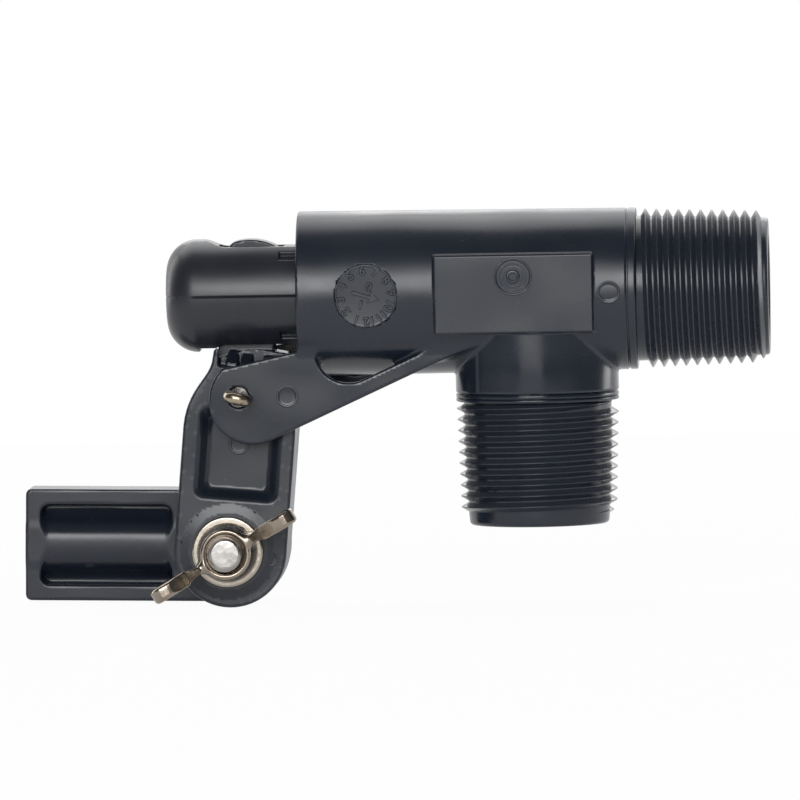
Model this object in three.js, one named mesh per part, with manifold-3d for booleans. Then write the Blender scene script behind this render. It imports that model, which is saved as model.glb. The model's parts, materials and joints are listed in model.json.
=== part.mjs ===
// Float valve for a stock tank: a moulded PVC tee body, a plunger with a rubber
// seal that slides in it, a lever on a cotter pin, and a rod holder clamped to
// the lever by a carriage bolt and a wing nut.
//
// Millimetres, +Z up. The origin is the centre of the inlet's end face, on the
// barrel's axis. The inlet points along +X and the outlet along -Z, and the
// wing nut is on the -Y side. The valve stands open, with the plunger drawn out.

import * as THREE from "three";
import { mergeVertices } from "three/addons/utils/BufferGeometryUtils.js";
import Module from "manifold-3d";

const wasm = await Module();
wasm.setup();

// ---------------------------------------------------------------------------
// Driving dimensions

const RUNNING_GAP = 0.3; // between pieces that move on each other
const BORE_CLEARANCE = 0.255; // between the plunger and the barrel's bore
const SHUT_GAP = 0.15; // between seal and seat when the valve is shut
const SEATED_GAP = 0.3; // between pieces that rest on each other
const MERGED = 0.5; // how far a moulded feature runs into the solid it grows from
const CUT_PAST = 1; // how far a cut runs past the surface it opens

// Pipe threads, 14 to the inch, tapering 1 in 16 on the diameter
const THREAD_PITCH = 25.4 / 14;
const THREAD_DEPTH = 1.3;
const THREAD_TAPER = 1 / 32;
const THREAD_STEPS = 24; // to a turn, a multiple of 4
const THREAD_RUNOUT = 1.0;

// Barrel, along X
const BARREL_LENGTH = 56.0;
const BARREL_MOUTH_RADIUS = 13.65;
const BARREL_COLLAR_RADIUS = 13.35;
const INLET_THREAD_LENGTH = 20.6;
const INLET_THREAD_RADIUS = 13.2;
const INLET_LEAD_IN = 1.2;
const INLET_BORE_RADIUS = 8.5;
const PARTITION_THICKNESS = 4.1;
const PARTITION_SETBACK = 1.0; // from the collar's outer face to the partition

// Outlet branch, along -Z
const OUTLET_FROM_COLLAR = 16.85; // from the collar's outer face to the outlet's axis
const OUTLET_NECK_RADIUS = 13.4;
const OUTLET_SHOULDER_DROP = 18.2;
const OUTLET_THREAD_LENGTH = 18.7;
const OUTLET_THREAD_RADIUS = 13.33;
const OUTLET_LEAD_IN = 1.8;
const OUTLET_BORE_RADIUS = 8.5;

// Flat pad on the front of the barrel
const PAD_LENGTH = 26.25;
const PAD_HEIGHT = 13.1;
const PAD_STAND_OUT = 0.45; // proud of the barrel at the collar
const PAD_CORNER = 0.4;
const PAD_FROM_COLLAR = 7.0;

// Ears that carry the lever's pin
const EAR_INNER = 7.75;
const EAR_THICKNESS = 2.55;
const EAR_END_RADIUS = 7.3;
const EAR_END_FORWARD = 2.4; // from the pivot to the centre of the ear's round end
const EAR_END_DROP = 0.55;
const EAR_SHOULDER_ANGLE = 134;
const EAR_ROOT_SINK = 0.76; // how far the ear's root lies inside the barrel
const EAR_TOP_FALL = 0.9; // from the root to the ear's top edge at the mouth
const EAR_STRUT_SLOPE = 24.3;
const NOTCH_RADIUS = 5.65;
const NOTCH_FROM_MOUTH = 8.4;
const NOTCH_BELOW_ROOT = 0.8;
const STRUT_WIDTH = 2.6;
const STOP_WEB_THICKNESS = 2.4;
const STOP_WEB_PAST_PIVOT = 3.3;
const STOP_CLEARANCE = 0.2; // from the lever's upright side to the barrel's mouth

// Plunger, along X
const PLUNGER_RADIUS = 9.35;
const PLUNGER_REACH = 21.9; // from the barrel's mouth to the plunger's outer end
const PLUNGER_END_ROUND = 5.2;
const PLUNGER_BULB = 5.9;
const PLUNGER_RAMP = 4.1;
const PLUNGER_FLAT_DEPTH = 1.29; // of the flats on top and underneath
const PLUNGER_FLAT_LENGTH = 16.0;
const PLUNGER_END_DOME = 0.4;
const PLUNGER_WAIST_RELIEF = 0.95;
const FLUTE_RADIUS = 0.75;
const FLUTE_START = 18.4; // from the plunger's outer end
const FLUTE_TO_RING = 9.65;
const O_RING_THICKNESS = 2.0;
const O_RING_FROM_WAIST = 7.5;
const O_RING_CLEARANCE = 0.15; // between the ring and the bore

// Seal and seat
const SEAL_THICKNESS = 3.2;
const SEAL_STAND_OUT = 0.8;
const SEAL_CUP_WALL = 1.1;
const SEAL_CUP_RELIEF = 0.35; // the cup is this much smaller than the plunger
const SEAL_CUP_RIM = 3.4;
const SEAT_ORIFICE_RADIUS = 4.6;
const SEAT_LIP_WALL = 1.0;
const SEAT_LIP_DRAFT = 0.6;
const SEAT_TUBE_WALL = 1.8;
const SEAT_FLANGE_CLEARANCE = 0.8; // between the flange's rim and the bore
const SEAT_FLANGE_THICKNESS = 1.3;
const SEAT_LIP_HEIGHT = 2.0;
const SEAT_TAIL = 1.8;
const SEAL_SCREW_RADIUS = 1.5;
const SEAL_SCREW_HEAD_CLEARANCE = 1.6; // between the screw's head and the seat's orifice
const SEAL_SCREW_HEAD = 1.8;
const SEAL_SCREW_LENGTH = 12.0;

// Lever, drawn upright about its pivot
const PIVOT_DROP = 16.5;
const LEVER_LEAN = 5.25; // degrees, its top towards the barrel
const LEVER_THROW = 17; // degrees from open to closed
const LEVER_HALF_WIDTH = 9.3;
const LEVER_OFFSET = 0.4; // its middle line is this far to the barrel's side of the pivot
const LEVER_BOLT_DROP = 25.7; // from pivot to clamp bolt
const LEVER_NECK_HALF_WIDTH = 4.65;
const LEVER_SHOULDER_CLEARANCE = 1.75; // between the lever's shoulders and the plunger
const LEVER_SHOULDER_FOOT = -5.5;
const LEVER_POCKET_HALF_WIDTH = 6.9;
const LEVER_POCKET_TOP = -4.6;
const LEVER_POCKET_FROM_BOLT = 8.7;
const LEVER_POCKET_DEPTH = 2.2;
const LEVER_POCKET_DRAFT = 1.4;
const PADDLE_RADIUS = 8.2;
const PADDLE_CROWN_RISE = 1.05;
const PADDLE_CROWN_ANGLE = 28;
const PADDLE_HALF_DEPTH = 3.0;
const GUSSET_RISE = 1.9; // above the lever's shoulders
const GUSSET_TOP_WIDTH = 1.6;
const GUSSET_FOOT_WIDTH = 4.2;
const GUSSET_PLACES = [-0.6, 4.2];

// Cotter pin
const COTTER_RADIUS = 1.35;
const COTTER_EYE_RADIUS = 2.5;
const COTTER_EYE_TURN = 15; // degrees
const COTTER_LEG_RADIUS = 0.7;
const COTTER_LEG_REACH = 4.6;

// Rod holder, drawn with its rod socket along -X from the clamp bolt
const ARM_RISE = 1.2; // degrees above the barrel's axis
const HOLDER_LENGTH = 34.6;
const HOLDER_HALF_HEIGHT = 9.3;
const HOLDER_RIM = 2.55;
const HOLDER_HUB_FLAT = 10.2;
const HOLDER_WEB = 2.5;
const HOLDER_CORNER = 1.0;
const HOLDER_POCKET_CORNER = 1.5;
const ROD_RADIUS = 3.3;
const SOCKET_WALL = 1.45;
const SOCKET_TUBE_INSET = 0.125; // from the holder's faces to the socket's tube
const ROD_SOCKET_DEPTH = 23.0;

// Carriage bolt, washer and wing nut, along Y
const BOLT_RADIUS = 3.1;
const BOLT_HOLE_CLEARANCE = 0.35;
const BOLT_HEAD_OVERHANG = 4.5;
const BOLT_HEAD_HEIGHT = 3.3;
const BOLT_NECK_STEP = 0.05; // the square neck stands this far out of the shank
const BOLT_NECK_LENGTH = 3.2;
const BOLT_STAND_OUT = 1.1;
const WASHER_OVERHANG = 2.8;
const WASHER_THICKNESS = 1.25;
const NUT_BASE_WALL = 1.9;
const NUT_TOP_WALL = 1.0;
const NUT_THREAD_CLEARANCE = 0.3;
const NUT_HEIGHT = 6.4;
const NUT_TURN = -30.3; // degrees, the way its wings lie
const WING_SPAN = 13.9;
const WING_HEIGHT = 13.0;
const WING_THICKNESS = 1.9;

// Worked out from those
const COLLAR_X = -(INLET_THREAD_LENGTH + INLET_LEAD_IN);
const MOUTH_X = COLLAR_X - BARREL_LENGTH;
const OUTLET_X = COLLAR_X - OUTLET_FROM_COLLAR;
const BORE_RADIUS = PLUNGER_RADIUS + BORE_CLEARANCE;
const PARTITION_RIGHT = COLLAR_X - PARTITION_SETBACK;
const PARTITION_LEFT = PARTITION_RIGHT - PARTITION_THICKNESS;
const PAD_FACE = BARREL_COLLAR_RADIUS + PAD_STAND_OUT;
const EAR_OUTER = EAR_INNER + EAR_THICKNESS;
const EAR_ROOT_DROP = Math.sqrt(BARREL_MOUTH_RADIUS ** 2 - EAR_OUTER ** 2) - EAR_ROOT_SINK;
const EAR_TOP_DROP = EAR_ROOT_DROP + EAR_TOP_FALL;
const LEVER_HALF_DEPTH = EAR_INNER - RUNNING_GAP;
const PIVOT_FROM_MOUTH = LEVER_HALF_WIDTH + LEVER_OFFSET + STOP_CLEARANCE;
const LEVER_SHOULDER_TOP = PIVOT_DROP - PLUNGER_RADIUS - LEVER_SHOULDER_CLEARANCE;
const PIVOT_X = MOUTH_X - PIVOT_FROM_MOUTH;
const PIVOT_Z = -PIVOT_DROP;
const LEAN = THREE.MathUtils.degToRad(LEVER_LEAN);
const PADDLE_RISE = (PIVOT_DROP + LEVER_OFFSET * Math.sin(LEAN)) / Math.cos(LEAN);
const PADDLE_X = PIVOT_X + LEVER_OFFSET * Math.cos(LEAN) + PADDLE_RISE * Math.sin(LEAN);
const PLUNGER_END = MOUTH_X - PLUNGER_REACH;
const HOLDER_FRONT = LEVER_HALF_DEPTH + SEATED_GAP;
const SOCKET_TUBE_RADIUS = ROD_RADIUS + SOCKET_WALL;
const HOLDER_BACK = HOLDER_FRONT + 2 * (SOCKET_TUBE_RADIUS + SOCKET_TUBE_INSET);
const WASHER_BACK = -LEVER_HALF_DEPTH - SEATED_GAP;
const NUT_BACK = WASHER_BACK - WASHER_THICKNESS - SEATED_GAP;
const NUT_FRONT = NUT_BACK - NUT_HEIGHT;
const BOLT_HOLE_RADIUS = BOLT_RADIUS + BOLT_HOLE_CLEARANCE;
const COTTER_HOLE_RADIUS = COTTER_RADIUS + RUNNING_GAP;
const NUT_BASE_RADIUS = BOLT_RADIUS + NUT_BASE_WALL;
const NUT_TOP_RADIUS = BOLT_RADIUS + NUT_TOP_WALL;
const SEAL_RADIUS = PLUNGER_RADIUS - SEAL_CUP_RELIEF - SEAL_CUP_WALL - SEATED_GAP;
const SEAT_TUBE_RADIUS = SEAT_ORIFICE_RADIUS + SEAT_TUBE_WALL;

// How far the plunger travels: the paddle's centre swings about the pivot
const PADDLE_ARM = Math.hypot(LEVER_OFFSET, PADDLE_RISE);
const PADDLE_START = LEAN + Math.atan2(LEVER_OFFSET, PADDLE_RISE);
const PADDLE_FINISH = PADDLE_START + THREE.MathUtils.degToRad(LEVER_THROW);
const PLUNGER_TRAVEL = PADDLE_ARM * (Math.sin(PADDLE_FINISH) - Math.sin(PADDLE_START));

const SEAT_LIP_X = PARTITION_LEFT - SEATED_GAP - SEAT_FLANGE_THICKNESS - SEAT_LIP_HEIGHT;
const SEAL_FACE_X = SEAT_LIP_X - PLUNGER_TRAVEL - SHUT_GAP;
const CUP_RIM_X = SEAL_FACE_X - SEAL_STAND_OUT;
const WAIST_X = OUTLET_X - OUTLET_BORE_RADIUS - 1;
const O_RING_X = WAIST_X - O_RING_FROM_WAIST;

// ---------------------------------------------------------------------------
// Solids

// Turns a closed geometry into a solid, with its faces pointing outwards.
function solidOf(geometry) {
  geometry.deleteAttribute("normal");
  geometry.deleteAttribute("uv");
  const merged = mergeVertices(geometry, 1e-4);
  const corners = merged.index.array;
  const faces = [];
  for (let i = 0; i < corners.length; i += 3) {
    const [a, b, c] = [corners[i], corners[i + 1], corners[i + 2]];
    if (a !== b && b !== c && c !== a) {
      faces.push(a, b, c);
    }
  }
  const vertProperties = Float32Array.from(merged.attributes.position.array);
  const build = (triVerts) => new wasm.Manifold(new wasm.Mesh({ numProp: 3, vertProperties, triVerts }));
  const solid = build(Uint32Array.from(faces));
  if (solid.volume() > 0) {
    return solid;
  }
  for (let i = 0; i < faces.length; i += 3) {
    [faces[i], faces[i + 1]] = [faces[i + 1], faces[i]];
  }
  return build(Uint32Array.from(faces));
}

function joined(...solids) {
  return solids.reduce((whole, solid) => whole.add(solid));
}

function cutBy(solid, ...tools) {
  return tools.reduce((rest, tool) => rest.subtract(tool), solid);
}

function namedMesh(name, solid, material) {
  const { vertProperties, triVerts } = solid.getMesh();
  const geometry = new THREE.BufferGeometry();
  geometry.setAttribute("position", new THREE.BufferAttribute(vertProperties, 3));
  geometry.setIndex(new THREE.BufferAttribute(triVerts, 1));
  geometry.computeVertexNormals();
  const mesh = new THREE.Mesh(geometry, material);
  mesh.name = name;
  return mesh;
}

// A turned shape from [radius, place] pairs. The places run along +X, -Z or Y.
function turned(profile, axis, segments = 48) {
  const points = profile.map(([radius, place]) => new THREE.Vector2(radius, place));
  const geometry = new THREE.LatheGeometry(points, segments);
  if (axis === "x") {
    geometry.rotateZ(-Math.PI / 2);
  }
  if (axis === "down") {
    geometry.rotateX(-Math.PI / 2);
  }
  return solidOf(geometry);
}

function rod(radius, from, to, axis, segments = 48) {
  return turned([[0, from], [radius, from], [radius, to], [0, to]], axis, segments);
}

// A flat outline drawn in X and Z, from one Y to a larger one. Its edges are
// rounded by `round`, inside the outline.
function plate(shape, front, back, round = 0, curveSegments = 12) {
  const geometry = new THREE.ExtrudeGeometry(shape, {
    depth: back - front - 2 * round,
    bevelEnabled: round > 0,
    bevelSize: round,
    bevelThickness: round,
    bevelOffset: -round,
    bevelSegments: 1,
    curveSegments,
  });
  geometry.rotateX(Math.PI / 2);
  geometry.translate(0, back - round, 0);
  return solidOf(geometry);
}

function box(x0, x1, y0, y1, z0, z1) {
  const geometry = new THREE.BoxGeometry(x1 - x0, y1 - y0, z1 - z0);
  geometry.translate((x0 + x1) / 2, (y0 + y1) / 2, (z0 + z1) / 2);
  return solidOf(geometry);
}

// A box with rounded corners, seen along Y
function roundedRectangle(x0, x1, z0, z1, radius) {
  const shape = new THREE.Shape();
  shape.moveTo(x0 + radius, z0);
  shape.lineTo(x1 - radius, z0);
  shape.absarc(x1 - radius, z0 + radius, radius, -Math.PI / 2, 0);
  shape.absarc(x1 - radius, z1 - radius, radius, 0, Math.PI / 2);
  shape.absarc(x0 + radius, z1 - radius, radius, Math.PI / 2, Math.PI);
  shape.absarc(x0 + radius, z0 + radius, radius, Math.PI, Math.PI * 1.5);
  return shape;
}

function mirroredInY(solid) {
  return solid.mirror([0, 1, 0]);
}

// ---------------------------------------------------------------------------
// Pipe thread

// A tapering screw round +X, longer than the thread at both ends. Its surface is
// a strip of crests and roots that climbs one pitch with each turn.
function screwCore(length, crestRadius) {
  const first = -2 * THREAD_PITCH;
  const rows = 2 * Math.ceil(length / THREAD_PITCH + 4);
  const placeOf = (row, column) => first + (row / 2 + column / THREAD_STEPS) * THREAD_PITCH;
  const positions = [];
  for (let row = 0; row <= rows; row++) {
    for (let column = 0; column < THREAD_STEPS; column++) {
      const angle = (column / THREAD_STEPS) * 2 * Math.PI;
      const x = placeOf(row, column);
      const radius = crestRadius - x * THREAD_TAPER - (row % 2) * THREAD_DEPTH;
      positions.push(x, radius * Math.cos(angle), radius * Math.sin(angle));
    }
  }
  const index = (row, column) =>
    column < THREAD_STEPS ? row * THREAD_STEPS + column : (row + 2) * THREAD_STEPS;
  const faces = [];
  for (let column = 0; column < THREAD_STEPS; column++) {
    const lastRow = column < THREAD_STEPS - 1 ? rows : rows - 2;
    for (let row = 0; row < lastRow; row++) {
      const [a, b] = [index(row, column), index(row + 1, column)];
      const [c, d] = [index(row + 1, column + 1), index(row, column + 1)];
      faces.push(a, c, b, a, d, c);
    }
  }
  const lowEdge = [...Array(THREAD_STEPS + 1).keys()].map((column) => index(0, column));
  lowEdge.push(index(1, 0), index(0, 0));
  const highEdge = [...Array(THREAD_STEPS).keys()].map((column) => index(rows, column));
  highEdge.push(index(rows - 1, THREAD_STEPS - 1), index(rows - 2, THREAD_STEPS - 1), index(rows, 0));
  const lowTip = positions.length / 3;
  const highTip = lowTip + 1;
  positions.push(first - THREAD_PITCH, 0, 0, placeOf(rows, THREAD_STEPS) + THREAD_PITCH, 0, 0);
  for (let i = 1; i < lowEdge.length; i++) {
    faces.push(lowTip, lowEdge[i], lowEdge[i - 1]);
  }
  for (let i = 1; i < highEdge.length; i++) {
    faces.push(highTip, highEdge[i - 1], highEdge[i]);
  }
  const geometry = new THREE.BufferGeometry();
  geometry.setAttribute("position", new THREE.Float32BufferAttribute(positions, 3));
  geometry.setIndex(faces);
  return solidOf(geometry);
}

// A threaded stub along +X from x = 0, with a plain lead-in at its free end.
function threadedStub(length, crestRadius, leadIn) {
  const crest = (x) => crestRadius - x * THREAD_TAPER + 0.1;
  const root = (x) => crestRadius - THREAD_DEPTH - x * THREAD_TAPER;
  const tip = length + leadIn;
  const envelope = turned(
    [
      [0, -MERGED],
      [root(0), -MERGED],
      [root(0), 0],
      [crest(THREAD_RUNOUT), THREAD_RUNOUT],
      [crest(length - THREAD_RUNOUT), length - THREAD_RUNOUT],
      [root(length), length],
      [root(tip), tip],
      [0, tip],
    ],
    "x",
    THREAD_STEPS,
  );
  return screwCore(length, crestRadius).intersect(envelope);
}

// ---------------------------------------------------------------------------
// Valve body

function earOutline() {
  const endX = PIVOT_X + EAR_END_FORWARD;
  const endZ = PIVOT_Z - EAR_END_DROP;
  const slope = THREE.MathUtils.degToRad(EAR_STRUT_SLOPE);
  const shoulder = THREE.MathUtils.degToRad(EAR_SHOULDER_ANGLE);
  const tangent = slope - Math.PI / 2;
  const tangentX = endX + EAR_END_RADIUS * Math.cos(tangent);
  const tangentZ = endZ + EAR_END_RADIUS * Math.sin(tangent);
  const strutFootX = tangentX + (-EAR_ROOT_DROP - tangentZ) / Math.tan(slope);
  const shape = new THREE.Shape();
  shape.moveTo(strutFootX, -EAR_ROOT_DROP);
  shape.lineTo(MOUTH_X + MERGED, -EAR_ROOT_DROP);
  shape.lineTo(MOUTH_X, -EAR_TOP_DROP);
  shape.absarc(endX, endZ, EAR_END_RADIUS, shoulder, 2 * Math.PI + tangent, false);
  shape.closePath();
  shape.holes.push(notchOutline(tangentX, tangentZ, slope));
  return shape;
}

// The opening between the ear's strut and the barrel: a round end, and a long
// straight side that follows the strut.
function notchOutline(tangentX, tangentZ, slope) {
  const centreX = MOUTH_X + NOTCH_FROM_MOUTH;
  const normal = slope - Math.PI / 2;
  const top = -EAR_ROOT_DROP - NOTCH_BELOW_ROOT;
  const strutX = tangentX - STRUT_WIDTH * Math.cos(normal);
  const strutZ = tangentZ - STRUT_WIDTH * Math.sin(normal);
  const footX = strutX + (top - strutZ) / Math.tan(slope);
  // where the round end meets the strut's upper edge, if it reaches that far
  const clear = (strutX - centreX) * Math.cos(normal) + (strutZ - top) * Math.sin(normal);
  const spread = Math.acos(THREE.MathUtils.clamp(clear / NOTCH_RADIUS, -1, 1));
  const hole = new THREE.Path();
  hole.moveTo(centreX - NOTCH_RADIUS, top);
  hole.absarc(centreX, top, NOTCH_RADIUS, Math.PI, 2 * Math.PI + normal - spread, false);
  hole.lineTo(footX, top);
  hole.closePath();
  return hole;
}

function makeValveBody() {
  const barrel = turned(
    [
      [0, MOUTH_X],
      [BARREL_MOUTH_RADIUS, MOUTH_X],
      [BARREL_COLLAR_RADIUS, COLLAR_X],
      [0, COLLAR_X],
    ],
    "x",
  );
  const inlet = threadedStub(INLET_THREAD_LENGTH, INLET_THREAD_RADIUS, INLET_LEAD_IN)
    .translate([COLLAR_X, 0, 0]);
  const neck = rod(OUTLET_NECK_RADIUS, 0, OUTLET_SHOULDER_DROP, "down").translate([OUTLET_X, 0, 0]);
  const outlet = threadedStub(OUTLET_THREAD_LENGTH, OUTLET_THREAD_RADIUS, OUTLET_LEAD_IN)
    .rotate([0, 90, 0])
    .translate([OUTLET_X, 0, -OUTLET_SHOULDER_DROP]);
  const padRight = COLLAR_X - PAD_FROM_COLLAR;
  const padTop = PAD_HEIGHT / 2;
  const padShape = roundedRectangle(padRight - PAD_LENGTH, padRight, -padTop, padTop, PAD_CORNER);
  const pad = plate(padShape, -PAD_FACE, -BORE_RADIUS - MERGED, 0, 3);
  const frontEar = plate(earOutline(), -EAR_OUTER, -EAR_INNER, 0.3);
  const stopLeft = MOUTH_X + RUNNING_GAP;
  const stopWeb = box(
    stopLeft,
    stopLeft + STOP_WEB_THICKNESS,
    -EAR_INNER - MERGED,
    EAR_INNER + MERGED,
    PIVOT_Z - STOP_WEB_PAST_PIVOT,
    -BORE_RADIUS - MERGED,
  );
  const outside = joined(barrel, inlet, neck, outlet, pad, frontEar, mirroredInY(frontEar), stopWeb);

  const plungerBore = rod(BORE_RADIUS, MOUTH_X - CUT_PAST, PARTITION_LEFT, "x", 36);
  const seatHoleRadius = SEAT_TUBE_RADIUS + SEATED_GAP;
  const seatHole = rod(seatHoleRadius, PARTITION_LEFT - CUT_PAST, PARTITION_RIGHT + CUT_PAST, "x", 24);
  const inletBore = rod(INLET_BORE_RADIUS, PARTITION_RIGHT, CUT_PAST, "x", 32);
  const outletDepth = OUTLET_SHOULDER_DROP + OUTLET_THREAD_LENGTH + OUTLET_LEAD_IN + CUT_PAST;
  const outletBore = rod(OUTLET_BORE_RADIUS, 0, outletDepth, "down", 32).translate([OUTLET_X, 0, 0]);
  const earsSide = EAR_OUTER + CUT_PAST;
  const pinHole = rod(COTTER_HOLE_RADIUS, -earsSide, earsSide, "y", 16).translate([PIVOT_X, 0, PIVOT_Z]);
  return cutBy(outside, plungerBore, seatHole, inletBore, outletBore, pinHole);
}

// ---------------------------------------------------------------------------
// Seat, plunger and seal

function makeSeatNozzle() {
  const flangeLeft = PARTITION_LEFT - SEATED_GAP - SEAT_FLANGE_THICKNESS;
  const tail = PARTITION_RIGHT + SEAT_TAIL;
  const lipRadius = SEAT_ORIFICE_RADIUS + SEAT_LIP_WALL;
  const flangeRadius = BORE_RADIUS - SEAT_FLANGE_CLEARANCE;
  return turned(
    [
      [SEAT_ORIFICE_RADIUS, SEAT_LIP_X],
      [lipRadius, SEAT_LIP_X],
      [lipRadius + SEAT_LIP_DRAFT, flangeLeft],
      [flangeRadius, flangeLeft],
      [flangeRadius, flangeLeft + SEAT_FLANGE_THICKNESS],
      [SEAT_TUBE_RADIUS, flangeLeft + SEAT_FLANGE_THICKNESS],
      [SEAT_TUBE_RADIUS, tail],
      [SEAT_ORIFICE_RADIUS + SEAT_LIP_WALL, tail],
      [SEAT_ORIFICE_RADIUS, tail - SEAT_TAIL],
      [SEAT_ORIFICE_RADIUS, SEAT_LIP_X],
    ],
    "x",
    32,
  );
}

// The outer end: a full round bulb, then flats above and below.
function plungerFlatCutter() {
  const rampStart = PLUNGER_END + PLUNGER_BULB;
  const rampEnd = rampStart + PLUNGER_RAMP;
  const flatEnd = rampEnd + PLUNGER_FLAT_LENGTH;
  const flat = PLUNGER_RADIUS - PLUNGER_FLAT_DEPTH;
  const past = PLUNGER_RADIUS + CUT_PAST;
  const shape = new THREE.Shape();
  shape.moveTo(rampStart, past);
  shape.lineTo(rampStart, PLUNGER_RADIUS);
  shape.quadraticCurveTo(rampStart + PLUNGER_RAMP * 0.55, flat, rampEnd, flat);
  shape.lineTo(flatEnd, flat);
  shape.lineTo(flatEnd, past);
  shape.closePath();
  return plate(shape, -past, past, 0, 6);
}

function makePlunger() {
  const round = PLUNGER_END_ROUND;
  const endProfile = [[0, PLUNGER_END]];
  const steps = 6;
  for (let i = 0; i <= steps; i++) {
    const angle = (i / steps) * (Math.PI / 2);
    const radius = PLUNGER_RADIUS - round + round * Math.sin(angle);
    endProfile.push([radius, PLUNGER_END + PLUNGER_END_DOME + round * (1 - Math.cos(angle))]);
  }
  const ringHalf = O_RING_THICKNESS / 2 + SEATED_GAP / 2;
  const grooveRadius = BORE_RADIUS - O_RING_CLEARANCE - O_RING_THICKNESS - SEATED_GAP;
  const waistRadius = PLUNGER_RADIUS - PLUNGER_WAIST_RELIEF;
  const cupRadius = SEAL_RADIUS + SEATED_GAP + SEAL_CUP_WALL;
  const cupFloor = CUP_RIM_X - SEAL_THICKNESS + SEAL_STAND_OUT - SEATED_GAP;
  const turnedBody = turned(
    [
      ...endProfile,
      [PLUNGER_RADIUS, O_RING_X - ringHalf],
      [grooveRadius, O_RING_X - ringHalf],
      [grooveRadius, O_RING_X + ringHalf],
      [PLUNGER_RADIUS, O_RING_X + ringHalf],
      [PLUNGER_RADIUS, WAIST_X],
      [waistRadius, WAIST_X + 1],
      [waistRadius, cupFloor - SEAL_CUP_RIM + 1],
      [cupRadius, cupFloor - SEAL_CUP_RIM + 2],
      [cupRadius, CUP_RIM_X],
      [SEAL_RADIUS + SEATED_GAP, CUP_RIM_X],
      [SEAL_RADIUS + SEATED_GAP, cupFloor],
      [0, cupFloor],
    ],
    "x",
    40,
  );
  const top = plungerFlatCutter();
  const bottom = top.mirror([0, 0, 1]);
  const reach = PADDLE_RADIUS + RUNNING_GAP;
  const halfSlot = PADDLE_HALF_DEPTH + RUNNING_GAP;
  const past = PLUNGER_RADIUS + CUT_PAST;
  const slot = box(PADDLE_X - reach, PADDLE_X + reach, -halfSlot, halfSlot, -past, past);
  const screwEnd = SEAL_FACE_X - SEAL_SCREW_LENGTH - CUT_PAST;
  const screwHole = rod(SEAL_SCREW_RADIUS + SEATED_GAP, screwEnd, CUP_RIM_X, "x", 12);
  const flutes = [45, 135, 225, 315].map((degrees) => {
    const from = PLUNGER_END + FLUTE_START;
    const flute = rod(FLUTE_RADIUS, from, O_RING_X - FLUTE_TO_RING, "x", 8);
    return flute.translate([0, 0, PLUNGER_RADIUS]).rotate([degrees, 0, 0]);
  });
  return cutBy(turnedBody, top, bottom, slot, screwHole, ...flutes);
}

function makeORing() {
  const points = new THREE.Path();
  const middle = BORE_RADIUS - O_RING_CLEARANCE - O_RING_THICKNESS / 2;
  points.absarc(middle, O_RING_X, O_RING_THICKNESS / 2, 0, Math.PI * 2);
  const profile = points.getSpacedPoints(8).map((point) => [point.x, point.y]);
  profile[profile.length - 1] = profile[0];
  return turned(profile, "x", 32);
}

function makeSealDisc() {
  const back = SEAL_FACE_X - SEAL_THICKNESS;
  const hole = SEAL_SCREW_RADIUS + SEATED_GAP;
  return turned(
    [
      [hole, back],
      [SEAL_RADIUS, back],
      [SEAL_RADIUS, SEAL_FACE_X - 0.3],
      [SEAL_RADIUS - 0.3, SEAL_FACE_X],
      [hole, SEAL_FACE_X],
      [hole, back],
    ],
    "x",
    32,
  );
}

function makeSealScrew() {
  const under = SEAL_FACE_X + SEATED_GAP;
  const headRadius = SEAT_ORIFICE_RADIUS - SEAL_SCREW_HEAD_CLEARANCE;
  const driverSlot = box(under + SEAL_SCREW_HEAD - 0.8, under + SEAL_SCREW_HEAD + 1, -0.4, 0.4, -4, 4);
  return turned(
    [
      [0, under - SEAL_SCREW_LENGTH],
      [SEAL_SCREW_RADIUS * 0.5, under - SEAL_SCREW_LENGTH],
      [SEAL_SCREW_RADIUS, under - SEAL_SCREW_LENGTH + 2],
      [SEAL_SCREW_RADIUS, under],
      [headRadius, under],
      [headRadius, under + SEAL_SCREW_HEAD * 0.6],
      [headRadius * 0.7, under + SEAL_SCREW_HEAD],
      [0, under + SEAL_SCREW_HEAD],
    ],
    "x",
    24,
  ).subtract(driverSlot);
}

// ---------------------------------------------------------------------------
// Lever and its pin

// Seen along Y, upright, with the pivot at the origin
function leverOutline() {
  const left = LEVER_OFFSET - LEVER_HALF_WIDTH;
  const right = LEVER_OFFSET + LEVER_HALF_WIDTH;
  const neckLeft = LEVER_OFFSET - LEVER_NECK_HALF_WIDTH;
  const neckRight = LEVER_OFFSET + LEVER_NECK_HALF_WIDTH;
  const shape = new THREE.Shape();
  shape.moveTo(neckRight, LEVER_SHOULDER_TOP);
  shape.lineTo(neckLeft, LEVER_SHOULDER_TOP);
  shape.bezierCurveTo(neckLeft - 0.3, 2.6, left + 0.2, 0.6, left, LEVER_SHOULDER_FOOT);
  shape.absarc(LEVER_OFFSET, -LEVER_BOLT_DROP, LEVER_HALF_WIDTH, Math.PI, 2 * Math.PI, false);
  shape.lineTo(right, LEVER_SHOULDER_FOOT);
  shape.bezierCurveTo(right - 0.2, 0.6, neckRight + 0.3, 2.6, neckRight, LEVER_SHOULDER_TOP);
  return shape;
}

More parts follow.
